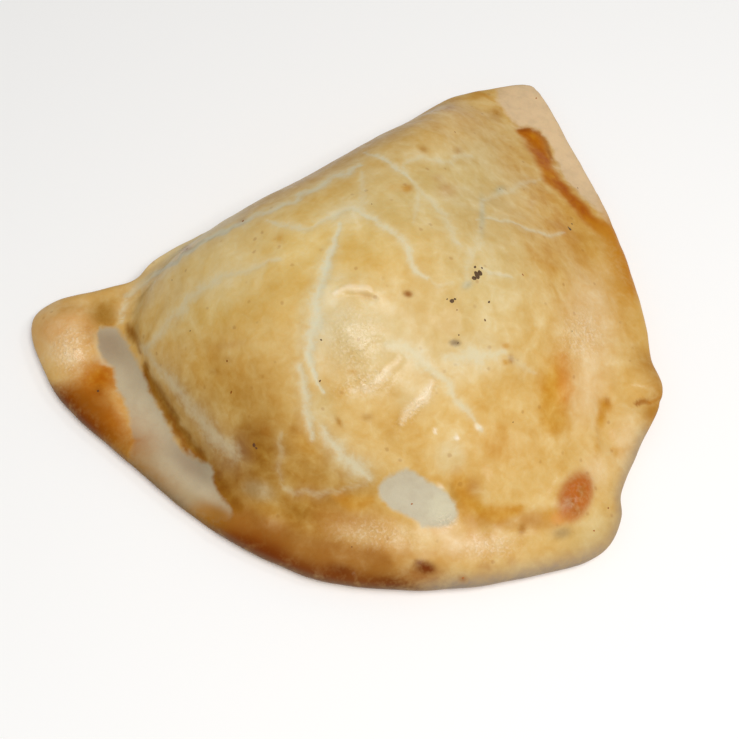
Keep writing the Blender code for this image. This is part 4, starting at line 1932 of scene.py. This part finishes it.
@dataclass(frozen=True)
class FleckScatter:
    """Tiny baked specks, each a flat grain set in the skin.

    Args:
        flatness: A grain's height as a share of its radius.
        sunk: How far it is set into the skin, as a share of its height.
        narrowest: The least width that a grain has, as a share of its length.
        uneven: How far its surface is pushed to and fro, in millimetres.
        uneven_size: The rough size of those pushes, in millimetres.
        seed: The seed of its random turns; the next one gives the widths.
    """

    flatness: float = 0.22
    sunk: float = 0.35
    narrowest: float = 0.55
    uneven: float = 0.22
    uneven_size: float = 0.5
    seed: int = 7

    def stored(self, tree: bpy.types.GeometryNodeTree, name: str, kind: str) -> Socket:
        """Read a value stored on the points.

        Args:
            tree: The tree to build in.
            name: The value's name.
            kind: The type of the value.

        Returns:
            The value's socket.
        """
        node = tree.nodes.new("GeometryNodeInputNamedAttribute")
        node.data_type = kind
        node.inputs["Name"].default_value = name
        return node.outputs["Attribute"]

    def drawn(self, tree: bpy.types.GeometryNodeTree, low: float, high: float, seed: int) -> Socket:
        """Draw a random value for each point.

        Args:
            tree: The tree to build in.
            low: The least value.
            high: The largest value.
            seed: The seed.

        Returns:
            The value's socket.
        """
        node = tree.nodes.new("FunctionNodeRandomValue")
        node.data_type = "FLOAT"
        node.inputs["Min"].default_value = low
        node.inputs["Max"].default_value = high
        node.inputs["Seed"].default_value = seed
        return node.outputs[1]

    def turned(self, tree: bpy.types.GeometryNodeTree) -> Socket:
        """Turn each grain to lie along the skin, any way round.

        Args:
            tree: The tree to build in.

        Returns:
            The rotation's socket.
        """
        lay = tree.nodes.new("FunctionNodeAlignRotationToVector")
        lay.axis = "Z"
        tree.links.new(self.stored(tree, "lie", "FLOAT_VECTOR"), lay.inputs["Vector"])
        turn = tree.nodes.new("FunctionNodeAxisAngleToRotation")
        turn.inputs["Axis"].default_value = (0, 0, 1)
        tree.links.new(self.drawn(tree, 0.0, math.tau, self.seed), turn.inputs["Angle"])
        both = tree.nodes.new("FunctionNodeRotateRotation")
        both.rotation_space = "LOCAL"
        tree.links.new(lay.outputs[0], both.inputs[0])
        tree.links.new(turn.outputs[0], both.inputs[1])
        return both.outputs[0]

    def sized(self, tree: bpy.types.GeometryNodeTree, flatness: Socket) -> Socket:
        """Size each grain by its own radius, flat and a little narrow.

        Args:
            tree: The tree to build in.
            flatness: The grain's height as a share of its radius.

        Returns:
            The scale's socket.
        """
        shape = tree.nodes.new("ShaderNodeCombineXYZ")
        shape.inputs["X"].default_value = 1.0
        tree.links.new(self.drawn(tree, self.narrowest, 1.0, self.seed + 1), shape.inputs["Y"])
        tree.links.new(flatness, shape.inputs["Z"])
        node = tree.nodes.new("ShaderNodeVectorMath")
        node.operation = "SCALE"
        tree.links.new(shape.outputs[0], node.inputs[0])
        tree.links.new(self.stored(tree, "size", "FLOAT"), node.inputs["Scale"])
        return node.outputs[0]

    def pushed(self, tree: bpy.types.GeometryNodeTree, unevenness: Socket) -> Socket:
        """Push a grain's surface to and fro.

        Args:
            tree: The tree to build in.
            unevenness: How far, in metres.

        Returns:
            The shift's socket.
        """
        cloud = tree.nodes.new("ShaderNodeTexNoise")
        cloud.inputs["Scale"].default_value = 1 / (self.uneven_size * MM)
        centred = tree.nodes.new("ShaderNodeVectorMath")
        centred.operation = "SUBTRACT"
        centred.inputs[1].default_value = (0.5, 0.5, 0.5)
        tree.links.new(cloud.outputs["Color"], centred.inputs[0])
        push = tree.nodes.new("ShaderNodeVectorMath")
        push.operation = "SCALE"
        tree.links.new(centred.outputs[0], push.inputs[0])
        tree.links.new(unevenness, push.inputs["Scale"])
        return push.outputs[0]

    def tree(self) -> bpy.types.GeometryNodeTree:
        """Build the node tree that turns each point into a grain lying along the skin.

        Returns:
            The tree, with inputs for the flatness, unevenness and material.
        """
        tree = bpy.data.node_groups.new("flecks", "GeometryNodeTree")
        tree.is_modifier = True
        face = tree.interface
        face.new_socket("Geometry", in_out="INPUT", socket_type="NodeSocketGeometry")
        face.new_socket("Flatness", in_out="INPUT", socket_type="NodeSocketFloat")
        face.new_socket("Unevenness", in_out="INPUT", socket_type="NodeSocketFloat")
        face.new_socket("Finish", in_out="INPUT", socket_type="NodeSocketMaterial")
        face.new_socket("Geometry", in_out="OUTPUT", socket_type="NodeSocketGeometry")
        nodes, link = tree.nodes, tree.links.new
        entry, leave = nodes.new("NodeGroupInput"), nodes.new("NodeGroupOutput")
        grain = nodes.new("GeometryNodeMeshIcoSphere")
        grain.inputs["Radius"].default_value = 1.0
        grain.inputs["Subdivisions"].default_value = 2
        spread = nodes.new("GeometryNodeInstanceOnPoints")
        link(entry.outputs["Geometry"], spread.inputs["Points"])
        link(grain.outputs["Mesh"], spread.inputs["Instance"])
        link(self.turned(tree), spread.inputs["Rotation"])
        link(self.sized(tree, entry.outputs["Flatness"]), spread.inputs["Scale"])
        whole = nodes.new("GeometryNodeRealizeInstances")
        link(spread.outputs[0], whole.inputs[0])
        moved = nodes.new("GeometryNodeSetPosition")
        link(whole.outputs[0], moved.inputs["Geometry"])
        link(self.pushed(tree, entry.outputs["Unevenness"]), moved.inputs["Offset"])
        smooth = nodes.new("GeometryNodeSetShadeSmooth")
        link(moved.outputs[0], smooth.inputs["Geometry"])
        coloured = nodes.new("GeometryNodeSetMaterial")
        link(smooth.outputs[0], coloured.inputs["Geometry"])
        link(entry.outputs["Finish"], coloured.inputs["Material"])
        link(coloured.outputs[0], leave.inputs[0])
        return tree

    def make(self, name: str, spots: Sequence[Spot], finish: PlainFinish) -> bpy.types.Object:
        """Make one piece of all the flecks of one colour.

        Args:
            name: The piece's name.
            spots: Each fleck's place, the skin's normal there, and its radius in millimetres.
            finish: Its material.

        Returns:
            The piece, a plain mesh.
        """
        mesh = bpy.data.meshes.new(name + "_spots")
        flat = [place - normal * radius * self.flatness * self.sunk * MM for place, normal, radius in spots]
        mesh.from_pydata(flat, [], [])
        lie = mesh.attributes.new("lie", "FLOAT_VECTOR", "POINT")
        lie.data.foreach_set("vector", np.array([normal for _, normal, _ in spots], np.float32).ravel())
        size = mesh.attributes.new("size", "FLOAT", "POINT")
        size.data.foreach_set("value", np.array([radius * MM for *_, radius in spots], np.float32))
        holder = bpy.data.objects.new(name + "_spots", mesh)
        bpy.context.scene.collection.objects.link(holder)
        grow = holder.modifiers.new("grow", "NODES")
        tree = self.tree()
        grow.node_group = tree
        values = {"Flatness": self.flatness, "Unevenness": self.uneven * MM, "Finish": finish.make()}
        for item in tree.interface.items_tree:
            if item.in_out == "INPUT" and item.name in values:
                grow[item.identifier] = values[item.name]
        holder.update_tag()
        grown = bpy.data.meshes.new_from_object(holder.evaluated_get(bpy.context.evaluated_depsgraph_get()))
        bpy.data.objects.remove(holder)
        grown.name = name
        piece = bpy.data.objects.new(name, grown)
        bpy.context.scene.collection.objects.link(piece)
        return piece

    def spots(self, tree: BVHTree) -> dict[Tone, list[Spot]]:
        """Place the named flecks on the skin.

        Args:
            tree: The finished skin's faces.

        Returns:
            The flecks of each colour.
        """
        found: dict[Tone, list[Spot]] = {}
        for fleck in chain(*FLECKS.values()):
            place, normal, *_ = tree.ray_cast(VIEW.place, VIEW.ray(fleck.pixel))
            if place is not None:
                found.setdefault(fleck.tone, []).append((place, normal, fleck.radius))
        return found


# ---------------------------------------------------------------------------------------------------
# The studio


@dataclass(frozen=True)
class SoftLight:
    """A square soft light that looks at the object.

    Args:
        name: The light's name.
        place: Where it hangs, in metres.
        span: The length of its side.
        power: Its power in watts.
        warmth: How much less blue than red it gives.
    """

    name: str
    place: tuple[float, float, float]
    span: float
    power: float
    warmth: float = 0.0

    def hang(self) -> None:
        """Put the light in the scene."""
        data = bpy.data.lights.new(self.name, "AREA")
        data.size, data.energy = self.span, self.power
        data.color = (1.0, 1.0 - self.warmth / 2, 1.0 - self.warmth)
        lamp = bpy.data.objects.new(self.name, data)
        aim = Vector(VIEW.target) - Vector(self.place)
        turned = aim.to_track_quat("-Z", "Y").to_matrix().to_4x4()
        lamp.matrix_world = Matrix.Translation(self.place) @ turned
        bpy.context.scene.collection.objects.link(lamp)


@dataclass(frozen=True)
class Studio:
    """A pale floor, a large soft light overhead, two small ones for glints, and a pale surround."""

    floor_span: float = 6.0
    floor_colour: tuple[float, ...] = (0.96, 0.96, 0.955, 1.0)
    floor_roughness: float = 0.9
    overhead: SoftLight = SoftLight("overhead", (0.0, -0.28, 0.72), 0.38, 4.24, 0.03)
    front_glint: SoftLight = SoftLight("front_glint", (-0.04, -0.30, 0.70), 0.12, 0.5)
    right_glint: SoftLight = SoftLight("right_glint", (0.40, -0.28, 0.66), 0.12, 0.5)
    surround_colour: tuple[float, ...] = (1.0, 0.995, 0.985, 1.0)
    surround_strength: float = 0.25

    def floor(self) -> None:
        """Lay the floor."""
        mesh = bpy.data.meshes.new("floor")
        half = self.floor_span / 2
        corners = [(-half, -half, 0), (half, -half, 0), (half, half, 0), (-half, half, 0)]
        mesh.from_pydata(corners, [], [(0, 1, 2, 3)])
        floor = bpy.data.objects.new("floor", mesh)
        bpy.context.scene.collection.objects.link(floor)
        g = Graph("pale_floor")
        g.surface(Base_Color=self.floor_colour, Roughness=self.floor_roughness)
        mesh.materials.append(g.material)

    def build(self) -> None:
        """Set up the floor, the lights and the surround."""
        self.floor()
        for light in (self.overhead, self.front_glint, self.right_glint):
            light.hang()
        world = bpy.data.worlds.new("surround")
        world.use_nodes = True
        background = world.node_tree.nodes["Background"]
        background.inputs["Color"].default_value = self.surround_colour
        background.inputs["Strength"].default_value = self.surround_strength
        bpy.context.scene.world = world
        bpy.context.scene.view_settings.view_transform = "Standard"


def tree_of(piece: bpy.types.Object) -> BVHTree:
    """Give a piece's faces as a tree that rays can be cast at.

    Args:
        piece: The piece.

    Returns:
        The tree.
    """
    form = bmesh.new()
    form.from_mesh(piece.data)
    tree = BVHTree.FromBMesh(form)
    form.free()
    return tree


def report(piece: bpy.types.Object) -> None:
    """Log a piece's name and its count of triangles."""
    piece.data.calc_loop_triangles()
    LOG.info("%s: %d triangles", piece.name, len(piece.data.loop_triangles))


def main() -> None:
    """Build the empanada's pieces, then the studio round them."""
    VIEW.make_camera()
    skin = Skin(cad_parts["crust"])
    crust = skin.dress()
    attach(crust, "root")
    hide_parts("crust")
    report(crust)
    scatter = FleckScatter()
    for tone, spots in scatter.spots(tree_of(crust)).items():
        name = "flecks_" + tone.name.lower()
        piece = scatter.make(name, spots, PlainFinish(name, tone))
        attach(piece, "root")
        report(piece)
    Studio().build()


if __name__ == "__main__":
    logging.basicConfig(level=logging.INFO, format="%(name)s: %(message)s")
    main()
